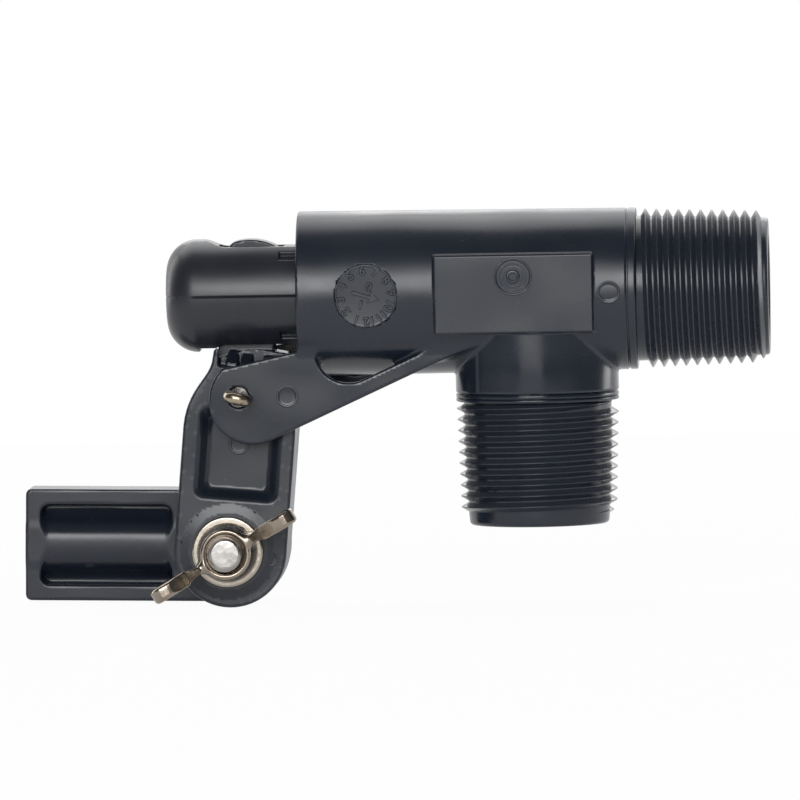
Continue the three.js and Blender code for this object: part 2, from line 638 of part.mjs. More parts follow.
// The paddle is a disc with a higher crown on top, on a neck that meets the shoulders.
function paddleOutline() {
  const shape = new THREE.Shape();
  const neckRight = LEVER_OFFSET + LEVER_NECK_HALF_WIDTH;
  const neckLeft = LEVER_OFFSET - LEVER_NECK_HALF_WIDTH;
  const steps = 32;
  const opening = Math.asin(LEVER_NECK_HALF_WIDTH / PADDLE_RADIUS);
  shape.moveTo(neckRight, LEVER_SHOULDER_TOP - MERGED);
  for (let i = 0; i <= steps; i++) {
    const angle = Math.PI - opening - (i / steps) * 2 * (Math.PI - opening);
    const fromCrown = Math.abs(THREE.MathUtils.radToDeg(angle)) - PADDLE_CROWN_ANGLE;
    const fall = THREE.MathUtils.smoothstep(fromCrown, -8, 10);
    const radius = THREE.MathUtils.lerp(PADDLE_RADIUS + PADDLE_CROWN_RISE, PADDLE_RADIUS, fall);
    shape.lineTo(LEVER_OFFSET + radius * Math.sin(angle), PADDLE_RISE + radius * Math.cos(angle));
  }
  shape.lineTo(neckLeft, LEVER_SHOULDER_TOP - MERGED);
  shape.closePath();
  return shape;
}

// A shallow pocket in the front face, wider at its mouth
function leverPocket() {
  const left = LEVER_OFFSET - LEVER_POCKET_HALF_WIDTH;
  const right = LEVER_OFFSET + LEVER_POCKET_HALF_WIDTH;
  const draft = LEVER_POCKET_DRAFT;
  const depth = LEVER_POCKET_DEPTH;
  const bottom = -LEVER_BOLT_DROP + LEVER_POCKET_FROM_BOLT;
  const floor = roundedRectangle(left + draft, right - draft, bottom + draft, LEVER_POCKET_TOP - draft, 0.6);
  const geometry = new THREE.ExtrudeGeometry(floor, {
    depth: 1,
    bevelEnabled: true,
    bevelSize: draft * 1.4,
    bevelThickness: depth * 1.4,
    bevelSegments: 1,
    curveSegments: 4,
  });
  geometry.rotateX(Math.PI / 2);
  geometry.translate(0, -LEVER_HALF_DEPTH - depth * 0.4, 0);
  const drafted = solidOf(geometry);
  const back = -LEVER_HALF_DEPTH + depth;
  const keep = box(left - 2, right + 2, -LEVER_HALF_DEPTH - 2, back, bottom - 2, LEVER_POCKET_TOP + 2);
  return drafted.translate([0, 2 * depth * 0.7, 0]).intersect(keep);
}

// A tapered rib that braces the neck against the shoulder's top
function gusset(place) {
  const foot = LEVER_SHOULDER_TOP - MERGED;
  const top = LEVER_SHOULDER_TOP + GUSSET_RISE;
  const profile = [
    [-GUSSET_FOOT_WIDTH / 2, -LEVER_HALF_DEPTH + 0.3, foot],
    [GUSSET_FOOT_WIDTH / 2, -LEVER_HALF_DEPTH + 0.3, foot],
    [GUSSET_FOOT_WIDTH / 2, 0, foot],
    [-GUSSET_FOOT_WIDTH / 2, 0, foot],
    [-GUSSET_TOP_WIDTH / 2, -PADDLE_HALF_DEPTH - 0.8, top],
    [GUSSET_TOP_WIDTH / 2, -PADDLE_HALF_DEPTH - 0.8, top],
    [GUSSET_TOP_WIDTH / 2, 0, top],
    [-GUSSET_TOP_WIDTH / 2, 0, top],
  ];
  const geometry = new THREE.BufferGeometry();
  geometry.setAttribute("position", new THREE.Float32BufferAttribute(profile.flat(), 3));
  geometry.setIndex([
    0, 2, 1, 0, 3, 2, 4, 5, 6, 4, 6, 7, 0, 1, 5, 0, 5, 4,
    1, 2, 6, 1, 6, 5, 2, 3, 7, 2, 7, 6, 3, 0, 4, 3, 4, 7,
  ]);
  return solidOf(geometry).translate([place, 0, 0]);
}

function makeLever() {
  const block = plate(leverOutline(), -LEVER_HALF_DEPTH, LEVER_HALF_DEPTH, 0.4, 16);
  const paddle = plate(paddleOutline(), -PADDLE_HALF_DEPTH, PADDLE_HALF_DEPTH, 0.3);
  const gussets = GUSSET_PLACES.flatMap((place) => [gusset(place), mirroredInY(gusset(place))]);
  const pocket = leverPocket();
  const reach = LEVER_HALF_DEPTH + CUT_PAST;
  const pinHole = rod(COTTER_HOLE_RADIUS, -reach, reach, "y", 20);
  const boltHole = rod(BOLT_HOLE_RADIUS, -reach, reach, "y", 24).translate([0, 0, -LEVER_BOLT_DROP]);
  return cutBy(joined(block, paddle, ...gussets), pocket, mirroredInY(pocket), pinHole, boltHole);
}

// A cotter pin along Y, with its eye outside the front ear and its legs spread
// behind the rear one
function makeCotterPin() {
  const eyeWire = 1.2;
  const eyeRing = new THREE.LatheGeometry(
    [
      [COTTER_EYE_RADIUS - eyeWire, -COTTER_RADIUS * 0.7],
      [COTTER_EYE_RADIUS - eyeWire * 0.4, -COTTER_RADIUS],
      [COTTER_EYE_RADIUS, -COTTER_RADIUS * 0.5],
      [COTTER_EYE_RADIUS, COTTER_RADIUS * 0.5],
      [COTTER_EYE_RADIUS - eyeWire * 0.4, COTTER_RADIUS],
      [COTTER_EYE_RADIUS - eyeWire, COTTER_RADIUS * 0.7],
      [COTTER_EYE_RADIUS - eyeWire, -COTTER_RADIUS * 0.7],
    ].map(([x, y]) => new THREE.Vector2(x, y)),
    24,
  );
  eyeRing.rotateX(Math.PI / 2);
  const eyeY = -EAR_OUTER - SEATED_GAP - COTTER_EYE_RADIUS;
  const eye = solidOf(eyeRing).translate([0, eyeY, 0]);
  const neckY = eyeY + COTTER_EYE_RADIUS - eyeWire * 0.7;
  const legStart = EAR_OUTER + 0.6;
  const shank = rod(COTTER_RADIUS, neckY, legStart, "y", 16);
  const legs = [1, -1].map((side) => {
    const path = new THREE.CatmullRomCurve3([
      new THREE.Vector3(side * 0.5, legStart - 1.2, 0),
      new THREE.Vector3(side * 0.6, legStart + 0.2, 0),
      new THREE.Vector3(side * 1.6, legStart + 1.4, 0),
      new THREE.Vector3(side * COTTER_LEG_REACH, legStart + 2.2, 0),
    ]);
    const section = new THREE.Shape();
    section.absarc(0, 0, COTTER_LEG_RADIUS, 0, Math.PI * 2);
    const geometry = new THREE.ExtrudeGeometry(section, {
      steps: 8,
      curveSegments: 5,
      bevelEnabled: false,
      extrudePath: path,
    });
    return solidOf(geometry);
  });
  return joined(eye, shank, ...legs).rotate([0, COTTER_EYE_TURN, 0]);
}

// ---------------------------------------------------------------------------
// Rod holder and its clamp, with the bolt's axis through the origin

function holderOutline() {
  const end = -HOLDER_LENGTH;
  const high = HOLDER_HALF_HEIGHT;
  const corner = HOLDER_CORNER;
  const shape = new THREE.Shape();
  shape.moveTo(0, high);
  shape.lineTo(end + corner, high);
  shape.absarc(end + corner, high - corner, corner, Math.PI / 2, Math.PI, false);
  shape.absarc(end + corner, -high + corner, corner, Math.PI, Math.PI * 1.5, false);
  shape.lineTo(0, -high);
  shape.absarc(0, 0, high, -Math.PI / 2, Math.PI / 2, false);
  return shape;
}

function makeRodHolder() {
  const middle = (HOLDER_FRONT + HOLDER_BACK) / 2;
  const block = plate(holderOutline(), HOLDER_FRONT, HOLDER_BACK, 0.5, 16);
  const rimInside = HOLDER_HALF_HEIGHT - HOLDER_RIM;
  const pocketShape = roundedRectangle(
    -HOLDER_LENGTH + HOLDER_RIM, -HOLDER_HUB_FLAT, -rimInside, rimInside, HOLDER_POCKET_CORNER,
  );
  const webFront = middle - HOLDER_WEB / 2;
  const webBack = middle + HOLDER_WEB / 2;
  const frontPocket = plate(pocketShape, HOLDER_FRONT - CUT_PAST, webFront, 0, 4);
  const backPocket = plate(pocketShape, webBack, HOLDER_BACK + CUT_PAST, 0, 4);
  const tube = rod(SOCKET_TUBE_RADIUS, -HOLDER_LENGTH + MERGED, -HOLDER_HUB_FLAT + MERGED, "x", 32)
    .translate([0, middle, 0]);
  const socket = rod(ROD_RADIUS, -HOLDER_LENGTH - CUT_PAST, -HOLDER_LENGTH + ROD_SOCKET_DEPTH, "x", 28)
    .translate([0, middle, 0]);
  const boltHole = rod(BOLT_HOLE_RADIUS, HOLDER_FRONT - CUT_PAST, HOLDER_BACK + CUT_PAST, "y", 24);
  const halfNeck = BOLT_RADIUS + BOLT_NECK_STEP + SEATED_GAP;
  const neckTop = HOLDER_BACK - BOLT_NECK_LENGTH;
  const neckHole = box(-halfNeck, halfNeck, neckTop, HOLDER_BACK + CUT_PAST, -halfNeck, halfNeck);
  return cutBy(cutBy(block, frontPocket, backPocket).add(tube), socket, boltHole, neckHole);
}

function makeClampBolt() {
  const under = HOLDER_BACK + SEATED_GAP;
  const tip = NUT_FRONT - BOLT_STAND_OUT;
  const shank = turned(
    [
      [0, tip],
      [BOLT_RADIUS - 0.6, tip],
      [BOLT_RADIUS, tip + 0.6],
      [BOLT_RADIUS, under + MERGED],
      [0, under + MERGED],
    ],
    "y",
    24,
  );
  const half = BOLT_RADIUS + BOLT_NECK_STEP;
  const headRadius = BOLT_RADIUS + BOLT_HEAD_OVERHANG;
  const neck = box(-half, half, under - BOLT_NECK_LENGTH + SEATED_GAP, under + MERGED, -half, half);
  const head = turned(
    [
      [0, under],
      [headRadius, under],
      [headRadius, under + 0.6],
      [headRadius * 0.86, under + BOLT_HEAD_HEIGHT * 0.52],
      [headRadius * 0.6, under + BOLT_HEAD_HEIGHT * 0.82],
      [headRadius * 0.3, under + BOLT_HEAD_HEIGHT * 0.97],
      [0, under + BOLT_HEAD_HEIGHT],
    ],
    "y",
    40,
  );
  return joined(shank, neck, head);
}

function makeWasher() {
  const inner = BOLT_HOLE_RADIUS;
  const outer = BOLT_RADIUS + WASHER_OVERHANG;
  const front = WASHER_BACK - WASHER_THICKNESS;
  return turned(
    [[inner, front], [outer, front], [outer, WASHER_BACK], [inner, WASHER_BACK], [inner, front]],
    "y",
    36,
  );
}

// Seen along the wings: out along X, and up the nut's axis along Z
function wingOutline() {
  const shape = new THREE.Shape();
  shape.moveTo(NUT_TOP_RADIUS - 0.6, 0.9);
  shape.quadraticCurveTo(WING_SPAN * 0.72, 2.2, WING_SPAN * 0.93, WING_HEIGHT * 0.55);
  shape.quadraticCurveTo(WING_SPAN * 1.04, WING_HEIGHT * 0.93, WING_SPAN * 0.88, WING_HEIGHT);
  shape.quadraticCurveTo(WING_SPAN * 0.6, WING_HEIGHT * 0.99, WING_SPAN * 0.5, WING_HEIGHT * 0.78);
  shape.quadraticCurveTo(WING_SPAN * 0.42, NUT_HEIGHT, NUT_TOP_RADIUS - 0.6, NUT_HEIGHT * 0.86);
  shape.closePath();
  return shape;
}

// Made with its base at z = 0 and its axis along +Z, then turned to face -Y
function makeWingNut() {
  const bore = BOLT_RADIUS + NUT_THREAD_CLEARANCE;
  const hub = turned(
    [
      [0, 0],
      [NUT_BASE_RADIUS, 0],
      [NUT_BASE_RADIUS, 1.2],
      [NUT_TOP_RADIUS, NUT_HEIGHT - 0.5],
      [NUT_TOP_RADIUS - 0.5, NUT_HEIGHT],
      [0, NUT_HEIGHT],
    ],
    "y",
    36,
  ).rotate([90, 0, 0]);
  const wing = plate(wingOutline(), -WING_THICKNESS / 2, WING_THICKNESS / 2, 0.35, 5);
  const hole = rod(bore, -CUT_PAST, NUT_HEIGHT + CUT_PAST, "y", 24).rotate([90, 0, 0]);
  return joined(hub, wing, wing.mirror([1, 0, 0]))
    .subtract(hole)
    .rotate([90, 0, 0])
    .translate([0, NUT_BACK, 0]);
}

// ---------------------------------------------------------------------------
// Materials and assembly

const pvc = () => new THREE.MeshStandardMaterial({ color: 0x3c4048, roughness: 0.38, metalness: 0 });
const rubber = () => new THREE.MeshStandardMaterial({ color: 0x17181a, roughness: 0.8, metalness: 0 });
const stainless = () => new THREE.MeshStandardMaterial({ color: 0xc9c3b8, roughness: 0.28, metalness: 1 });

const leverGroup = new THREE.Group();
leverGroup.position.set(PIVOT_X, 0, PIVOT_Z);
leverGroup.rotation.y = LEAN;

const washer = namedMesh("clamp_washer", makeWasher(), stainless());
washer.position.z = -LEVER_BOLT_DROP;

const armGroup = new THREE.Group();
armGroup.position.z = -LEVER_BOLT_DROP;
armGroup.rotation.y = THREE.MathUtils.degToRad(ARM_RISE) - LEAN;

const wingNut = namedMesh("wing_nut", makeWingNut(), stainless());
wingNut.rotation.y = THREE.MathUtils.degToRad(NUT_TURN - ARM_RISE);

armGroup.add(
  namedMesh("rod_holder", makeRodHolder(), pvc()),
  namedMesh("clamp_bolt", makeClampBolt(), stainless()),
  wingNut,
);
leverGroup.add(namedMesh("lever", makeLever(), pvc()), washer, armGroup);

const cotterPin = namedMesh("pivot_cotter_pin", makeCotterPin(), stainless());
cotterPin.position.set(PIVOT_X, 0, PIVOT_Z);

const floatValve = new THREE.Group();
floatValve.add(
  namedMesh("valve_body", makeValveBody(), pvc()),
  namedMesh("seat_nozzle", makeSeatNozzle(), pvc()),
  namedMesh("plunger", makePlunger(), pvc()),
  namedMesh("plunger_o_ring", makeORing(), rubber()),
  namedMesh("seal_disc", makeSealDisc(), rubber()),
  namedMesh("seal_screw", makeSealScrew(), stainless()),
  cotterPin,
  leverGroup,
);

export default floatValve;
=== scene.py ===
# Float valve for a stock tank, with its lever, rod holder and wing nut. The moulded
# pieces are dark grey PVC and the hardware is stainless steel. Lengths are in
# millimetres until a mesh is made, and the frame and the meshes are in metres.

import bmesh
import bpy
import json
import math
import numpy as np
from mathutils import Euler, Matrix, Vector


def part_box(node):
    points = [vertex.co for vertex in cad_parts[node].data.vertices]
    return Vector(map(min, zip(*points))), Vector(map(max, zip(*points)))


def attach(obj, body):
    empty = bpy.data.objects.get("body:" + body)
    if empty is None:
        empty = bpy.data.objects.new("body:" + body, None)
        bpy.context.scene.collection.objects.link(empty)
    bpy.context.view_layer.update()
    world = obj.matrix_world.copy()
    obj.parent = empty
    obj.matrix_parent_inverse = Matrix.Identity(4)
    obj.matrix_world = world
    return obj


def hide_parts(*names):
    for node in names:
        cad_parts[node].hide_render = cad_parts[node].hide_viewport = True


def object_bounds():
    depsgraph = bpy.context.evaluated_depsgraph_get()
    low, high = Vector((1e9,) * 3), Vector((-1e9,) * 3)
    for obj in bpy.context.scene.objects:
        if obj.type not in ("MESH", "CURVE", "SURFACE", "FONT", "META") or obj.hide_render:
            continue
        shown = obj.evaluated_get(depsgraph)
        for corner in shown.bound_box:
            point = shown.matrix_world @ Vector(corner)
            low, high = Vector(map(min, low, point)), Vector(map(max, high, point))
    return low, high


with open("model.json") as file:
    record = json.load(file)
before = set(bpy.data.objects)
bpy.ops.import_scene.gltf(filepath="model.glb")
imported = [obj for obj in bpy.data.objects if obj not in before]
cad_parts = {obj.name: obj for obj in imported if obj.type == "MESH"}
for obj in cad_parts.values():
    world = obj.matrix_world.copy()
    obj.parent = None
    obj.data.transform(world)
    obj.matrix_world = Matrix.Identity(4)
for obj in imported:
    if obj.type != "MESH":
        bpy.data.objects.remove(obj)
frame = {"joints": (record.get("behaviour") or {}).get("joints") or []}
cad_low, cad_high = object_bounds()

# ----------------------------------------
# Tee body: one PVC moulding, with the barrel, the outlet's neck, a flat pad, and two
# ears that carry the lever's pin. Every inside corner has the mould's small radius,
# and every edge is slightly rounded.

MM = 0.001


def box_mm(node):
    """Lowest and highest corner of a node of the frame, in millimetres."""
    low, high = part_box(node)
    return low / MM, high / MM


def joint_place(name):
    """Where a joint's axis crosses the middle plane, in millimetres."""
    found = next(joint for joint in frame["joints"] if joint["name"] == name)
    return Vector(found["pos_m"]) / MM


body_low, body_high = box_mm("valve_body")
pivot = joint_place("lever_pivot")
bolt = joint_place("rod_holder_hinge")

inlet_stub_length = 21.8
barrel_length = 56.0
collar = body_high.x - inlet_stub_length
mouth = collar - barrel_length
barrel_radius = body_high.z
barrel_taper = 0.3 / barrel_length
tee_end = collar - 1.45
outlet_x = collar - 16.85
neck_radius = 13.5
neck_end = body_low.z + 21.95
bore_radius = 9.605
pipe_bore = 8.5
partition = (collar - 5.1, collar - 1.0)
seat_hole = 6.7

pad_right = collar - 7.0
pad_left = pad_right - 26.25
pad_half_height = 6.55
pad_face = 13.8

ear_inner = 7.75
ear_outer = 10.3
ear_centre = (pivot.x + 2.4, pivot.z - 0.55)
ear_radius = 7.3
ear_shoulder = math.radians(134)
pin_hole_radius = 1.65
strut_slope = math.radians(24.3)
strut_width = 2.6
strut_top = -8.2
notch_centre = (mouth + 8.4, -9.0)
front_notch_radius = 5.45
rear_notch_radius = 4.9
front_top_edge = [(mouth, -9.1)]
rear_top_edge = [(mouth, -8.0), (mouth - 5.2, -8.9)]
web_left = mouth + 0.3
web_thickness = 2.4
web_foot = pivot.z - 3.3

dial_x = mouth + 11.6
dial_radius = 5.2
dial_face = 13.3

EAR_FILLET = 0.9
EDGE = 0.35


def meet(a, b, edge=0.0):
    """The space inside both shapes, with its new edge rounded."""
    beyond = np.hypot(np.maximum(edge + a, 0), np.maximum(edge + b, 0))
    return np.minimum(-edge, np.maximum(a, b)) + beyond


def join(a, b, fillet=0.0):
    """Both shapes as one, with a fillet in the corner between them."""
    within = np.hypot(np.maximum(fillet - a, 0), np.maximum(fillet - b, 0))
    return np.maximum(fillet, np.minimum(a, b)) - within


def slab(place, low, high):
    """The space between two parallel planes."""
    return np.maximum(low - place, place - high)


def block(x, y, z, spans, edge=0.0):
    """A box with rounded edges, from a low and high place along each axis."""
    ends = [slab(place, low, high) + edge for place, (low, high) in zip((x, y, z), spans)]
    outside = sum(np.maximum(end, 0) ** 2 for end in ends) ** 0.5
    return outside + np.minimum(np.maximum(np.maximum(ends[0], ends[1]), ends[2]), 0) - edge


def arc(centre, radius, start, finish, steps=14):
    """Points round part of a circle, between two angles in radians."""
    turn = np.linspace(start, finish, steps)
    return [(centre[0] + radius * math.cos(t), centre[1] + radius * math.sin(t)) for t in turn]


def outline_distance(across, up, points):
    """Distance to a closed outline, negative inside it."""
    across, up = np.broadcast_arrays(across, up)
    nearest = np.full(across.shape, np.inf)
    inside = np.zeros(across.shape, bool)
    for (ax, az), (bx, bz) in zip(points, points[1:] + points[:1]):
        side_x, side_z = bx - ax, bz - az
        from_x, from_z = across - ax, up - az
        along = np.clip((from_x * side_x + from_z * side_z) / (side_x**2 + side_z**2), 0, 1)
        gap = (from_x - along * side_x) ** 2 + (from_z - along * side_z) ** 2
        nearest = np.minimum(nearest, gap)
        if az != bz:
            crossing = ax + from_z * side_x / side_z
            inside ^= ((az > up) != (bz > up)) & (across < crossing)
    return np.sqrt(nearest) * np.where(inside, -1, 1)


def placed(made):
    bpy.context.scene.collection.objects.link(made)
    return made


def mesh_object(name, points_mm, faces, normals=None):
    """A new object from points in millimetres, smooth, with its own place in its mesh."""
    mesh = bpy.data.meshes.new(name)
    mesh.from_pydata([tuple(point * MM) for point in np.asarray(points_mm, float)], [], faces)
    mesh.polygons.foreach_set("use_smooth", [True] * len(mesh.polygons))
    if normals is not None:
        mesh.normals_split_custom_set_from_vertices(normals)
    return placed(bpy.data.objects.new(name, mesh))


def moulded(name, field, low, high, cell):
    """A closed mesh where the field is zero. Each cell that the surface crosses gets
    one corner, and each grid edge that it crosses gets one face."""
    ticks = [np.arange(low[i] - 2 * cell, high[i] + 3 * cell, cell) for i in range(3)]
    x, y, z = ticks[0][:, None, None], ticks[1][None, :, None], ticks[2][None, None, :]
    shape = tuple(len(tick) for tick in ticks)
    value = np.ascontiguousarray(np.broadcast_to(field(x, y, z), shape))
    inside = value < 0
    corners = [(i, j, k) for i in (0, 1) for j in (0, 1) for k in (0, 1)]
    parts = [inside[i:shape[0] - 1 + i, j:shape[1] - 1 + j, k:shape[2] - 1 + k] for i, j, k in corners]
    count = sum(part.astype(np.int8) for part in parts)
    cells = np.argwhere((count > 0) & (count < 8))
    number = np.full(count.shape, -1)
    number[tuple(cells.T)] = np.arange(len(cells))

    total = np.zeros((len(cells), 3))
    crossings = np.zeros(len(cells))
    for start in corners:
        for axis in range(3):
            if start[axis] == 1:
                continue
            finish = tuple(1 if i == axis else start[i] for i in range(3))
            a = value[tuple((cells + start).T)]
            b = value[tuple((cells + finish).T)]
            crossed = (a < 0) != (b < 0)
            share = np.where(crossed, a / np.where(crossed, a - b, 1), 0)
            place = np.tile(np.array(start, float), (len(cells), 1))
            place[:, axis] = share
            total += place * crossed[:, None]
            crossings += crossed
    middle = np.array([tick[0] for tick in ticks])
    points = middle + (cells + total / crossings[:, None]) * cell

    def slope(at):
        step = 0.02
        ahead = [field(*(at + step * row).T) - field(*(at - step * row).T) for row in np.eye(3)]
        steep = np.stack(ahead, axis=1) / (2 * step)
        return steep / np.maximum(np.linalg.norm(steep, axis=1), 1e-6)[:, None]

    for _ in range(3):
        push = np.clip(field(*points.T), -cell / 2, cell / 2)
        points = points - slope(points) * push[:, None]

    faces = []
    for axis in range(3):
        second, third = (axis + 1) % 3, (axis + 2) % 3
        ahead = tuple(slice(1, None) if i == axis else slice(None) for i in range(3))
        behind = tuple(slice(None, -1) if i == axis else slice(None) for i in range(3))
        leaving = inside[behind] & ~inside[ahead]
        entering = ~inside[behind] & inside[ahead]
        for outward, crossed in ((1, leaving), (-1, entering)):
            edges = np.argwhere(crossed)
            ring = []
            for down, left in ((1, 1), (0, 1), (0, 0), (1, 0)):
                around = edges.copy()
                around[:, second] -= down
                around[:, third] -= left
                ring.append(number[tuple(around.T)])
            faces.append(np.stack(ring[::outward], axis=1))
    return mesh_object(name, points, np.concatenate(faces).tolist(), slope(points))


def ear_field(x, z, notch_radius, top_edge):
    """The ear and its strut, seen from the side, with the notch under the barrel. The
    notch's arc ends where it meets the strut's upper edge."""
    tangent = strut_slope - math.pi / 2
    touch = arc(ear_centre, ear_radius, tangent, tangent, 1)[0]
    foot = touch[0] + (strut_top - touch[1]) / math.tan(strut_slope)
    outer = [(foot, strut_top), (mouth + 0.5, -8.0), *top_edge]
    outer += arc(ear_centre, ear_radius, ear_shoulder, 2 * math.pi + tangent, 40)
    edge_x = touch[0] - strut_width * math.cos(tangent)
    edge_z = touch[1] - strut_width * math.sin(tangent)
    edge_foot = edge_x + (notch_centre[1] - edge_z) / math.tan(strut_slope)
    clear = (edge_x - notch_centre[0]) * math.cos(tangent) + (edge_z - notch_centre[1]) * math.sin(tangent)
    spread = math.acos(min(max(clear / notch_radius, -1), 1))
    notch = arc(notch_centre, notch_radius, math.pi, 2 * math.pi + tangent - spread, 24)
    notch += [(edge_foot, notch_centre[1]), (edge_foot, 0), (notch_centre[0] - notch_radius, 0)]
    return meet(outline_distance(x, z, outer), -outline_distance(x, z, notch), 0.3)


def from_axis(centre, x, z):
    """Distance from an axis that runs front to back."""
    return np.hypot(x - centre.x, z - centre.z)


def along_axes(centre, angle, x, z):
    """Distances from a centre along two axes that are turned by an angle."""
    from_x, from_z = x - centre.x, z - centre.z
    across = from_x * math.cos(angle) - from_z * math.sin(angle)
    return across, from_x * math.sin(angle) + from_z * math.cos(angle)


def tee_field(x, y, z):
    around = np.hypot(y, z)
    barrel = meet(around - barrel_radius + (x - mouth) * barrel_taper, slab(x, mouth, tee_end), EDGE)
    neck = meet(np.hypot(x - outlet_x, y) - neck_radius, slab(z, neck_end, 0), EDGE)
    pad_spans = ((pad_left, pad_right), (-pad_face, -9), (-pad_half_height, pad_half_height))
    pad = block(x, y, z, pad_spans, 0.25)
    dial_seat = meet(np.hypot(x - dial_x, z) - dial_radius + 0.1, slab(y, -20, -dial_face + 1.1))
    whole = meet(join(join(barrel, neck, 0.35), pad, 0.25), -dial_seat, 0.12)
    front_side = ear_field(x, z, front_notch_radius, front_top_edge)
    front_ear = meet(front_side, slab(y, -ear_outer, -ear_inner), EDGE)
    rear_side = ear_field(x, z, rear_notch_radius, rear_top_edge)
    rear_ear = meet(rear_side, slab(y, ear_inner, ear_outer), EDGE)
    ears = np.minimum(front_ear, rear_ear)
    web_x = (web_left, web_left + web_thickness)
    web = block(x, y, z, (web_x, (-ear_inner - 0.5, ear_inner + 0.5), (web_foot, -10)), 0.3)
    whole = join(join(whole, ears, EAR_FILLET), web, 0.5)
    plunger_bore = meet(around - bore_radius, slab(x, mouth - 5, partition[0]))
    seat_bore = meet(around - seat_hole, slab(x, partition[0] - 1, partition[1] + 1))
    inlet_bore = meet(around - pipe_bore, slab(x, partition[1], tee_end + 5))
    outlet_bore = meet(np.hypot(x - outlet_x, y) - pipe_bore, slab(z, neck_end - 5, 0))
    bores = join(join(plunger_bore, seat_bore), join(inlet_bore, outlet_bore))
    pin_hole = from_axis(pivot, x, z) - pin_hole_radius
    return meet(whole, -join(bores, pin_hole), EDGE)


tee_low = (body_low.x, -pad_face, min(ear_centre[1] - ear_radius, neck_end))
tee = moulded("tee_body", tee_field, tee_low, (tee_end, barrel_radius, barrel_radius), 0.36)


def linear(hex_colour):
    """An sRGB colour such as "3c4048" as the linear numbers that a shader takes."""
    parts = [int(hex_colour[i:i + 2], 16) / 255 for i in (0, 2, 4)]
    curve = [part / 12.92 if part <= 0.04045 else ((part + 0.055) / 1.055) ** 2.4 for part in parts]
    return (*curve, 1.0)


def add_node(tree, kind, settings=None, feeds=None):
    """One node with its settings, and its inputs fed by values or by other nodes."""
    made = tree.nodes.new(kind)
    for name, value in (settings or {}).items():
        setattr(made, name, value)
    for name, value in (feeds or {}).items():
        if isinstance(value, bpy.types.NodeSocket):
            tree.links.new(value, made.inputs[name])
        else:
            made.inputs[name].default_value = value
    return made


def per_metre(millimetres):
    """The scale that gives a pattern this size, on coordinates in metres."""
    return 1 / (millimetres * MM)


def noise(tree, place, size_mm, detail):
    return add_node(tree, "ShaderNodeTexNoise", feeds={
        "Vector": place, "Scale": per_metre(size_mm), "Detail": detail}).outputs["Fac"]


def ranged(tree, value, from_min, from_max, to_min, to_max, kind="LINEAR"):
    """A value of one range carried over to another range."""
    return add_node(tree, "ShaderNodeMapRange", {"interpolation_type": kind}, {
        "Value": value, "From Min": from_min, "From Max": from_max,
        "To Min": to_min, "To Max": to_max}).outputs["Result"]


def mixed_colour(tree, share, first, second):
    return add_node(tree, "ShaderNodeMix", {"data_type": "RGBA"}, {
        "Factor": share, 6: first, 7: second}).outputs[2]


def calculated(tree, operation, first, second):
    return add_node(tree, "ShaderNodeMath", {"operation": operation}, {0: first, 1: second}).outputs[0]


def bumped(tree, height, strength, distance_mm, normal=None):
    """A surface normal pushed by a height, on top of another normal."""
    feeds = {"Height": height, "Strength": strength, "Distance": distance_mm * MM}
    if normal is not None:
        feeds["Normal"] = normal
    return add_node(tree, "ShaderNodeBump", feeds=feeds).outputs["Normal"]


def new_material(name):
    """A material with its node tree, its shader, and the place of each point in metres."""
    material = bpy.data.materials.new(name)
    material.use_nodes = True
    tree = material.node_tree
    place = add_node(tree, "ShaderNodeTexCoord").outputs["Object"]
    return material, tree, tree.nodes["Principled BSDF"], place


def connect(tree, shader, colour, roughness, normal=None):
    tree.links.new(colour, shader.inputs["Base Color"])
    tree.links.new(roughness, shader.inputs["Roughness"])
    if normal is not None:
        tree.links.new(normal, shader.inputs["Normal"])


def moulded_pvc(name, base, light, gloss, polished_below=None):
    """Injection-moulded grey PVC. It is a dense, satin plastic: the steel mould leaves it
    smooth with a faint orange peel, flow marks some millimetres wide vary its gloss,
    handling leaves pale scuffs on its edges, and dust sits on it in specks. Below a
    height, the mould can be better polished."""
    material, tree, shader, place = new_material(name)
    shader.inputs["IOR"].default_value = 1.53
    flow = noise(tree, place, 14, 3.0)
    grain = noise(tree, place, 0.9, 2.0)
    specks = ranged(tree, noise(tree, place, 0.7, 1.0), 0.8, 0.86, 0.0, 0.3)
    colour = mixed_colour(tree, flow, linear(base), linear(light))
    dusted = mixed_colour(tree, specks, colour, linear("9a9c9e"))
    sharpness = add_node(tree, "ShaderNodeNewGeometry").outputs["Pointiness"]
    edge = ranged(tree, sharpness, 0.54, 0.66, 0.0, 0.35)
    worn = mixed_colour(tree, edge, dusted, linear("5c6068"))
    roughness = ranged(tree, flow, 0.2, 0.8, gloss - 0.06, gloss + 0.08, "SMOOTHSTEP")
    if polished_below is not None:
        height = add_node(tree, "ShaderNodeSeparateXYZ", feeds={"Vector": place}).outputs["Z"]
        polish = ranged(tree, height, (polished_below - 3) * MM, polished_below * MM, 0.62, 1.0)
        roughness = calculated(tree, "MULTIPLY", roughness, polish)
    # thick walls shrink as they cool, so flat faces are very slightly wavy
    wavy = bumped(tree, noise(tree, place, 11, 0.0), 1.0, 0.35)
    peeled = bumped(tree, grain, 0.12, 0.05, wavy)
    connect(tree, shader, worn, roughness, peeled)
    return material


body_pvc = moulded_pvc("moulded_pvc_body", "1b212c", "222935", 0.27, -9.5)
tee.data.materials.append(body_pvc)
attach(tee, "valve_body")
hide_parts("valve_body")

# ----------------------------------------
# Inlet and outlet stubs: the plain cores of the two pipe threads, part of the same
# moulding. Each starts with a narrow collar, cut off from the tee by a thin groove
# where two parts of the mould meet.

thread_depth = 1.2
thread_taper = 1 / 32


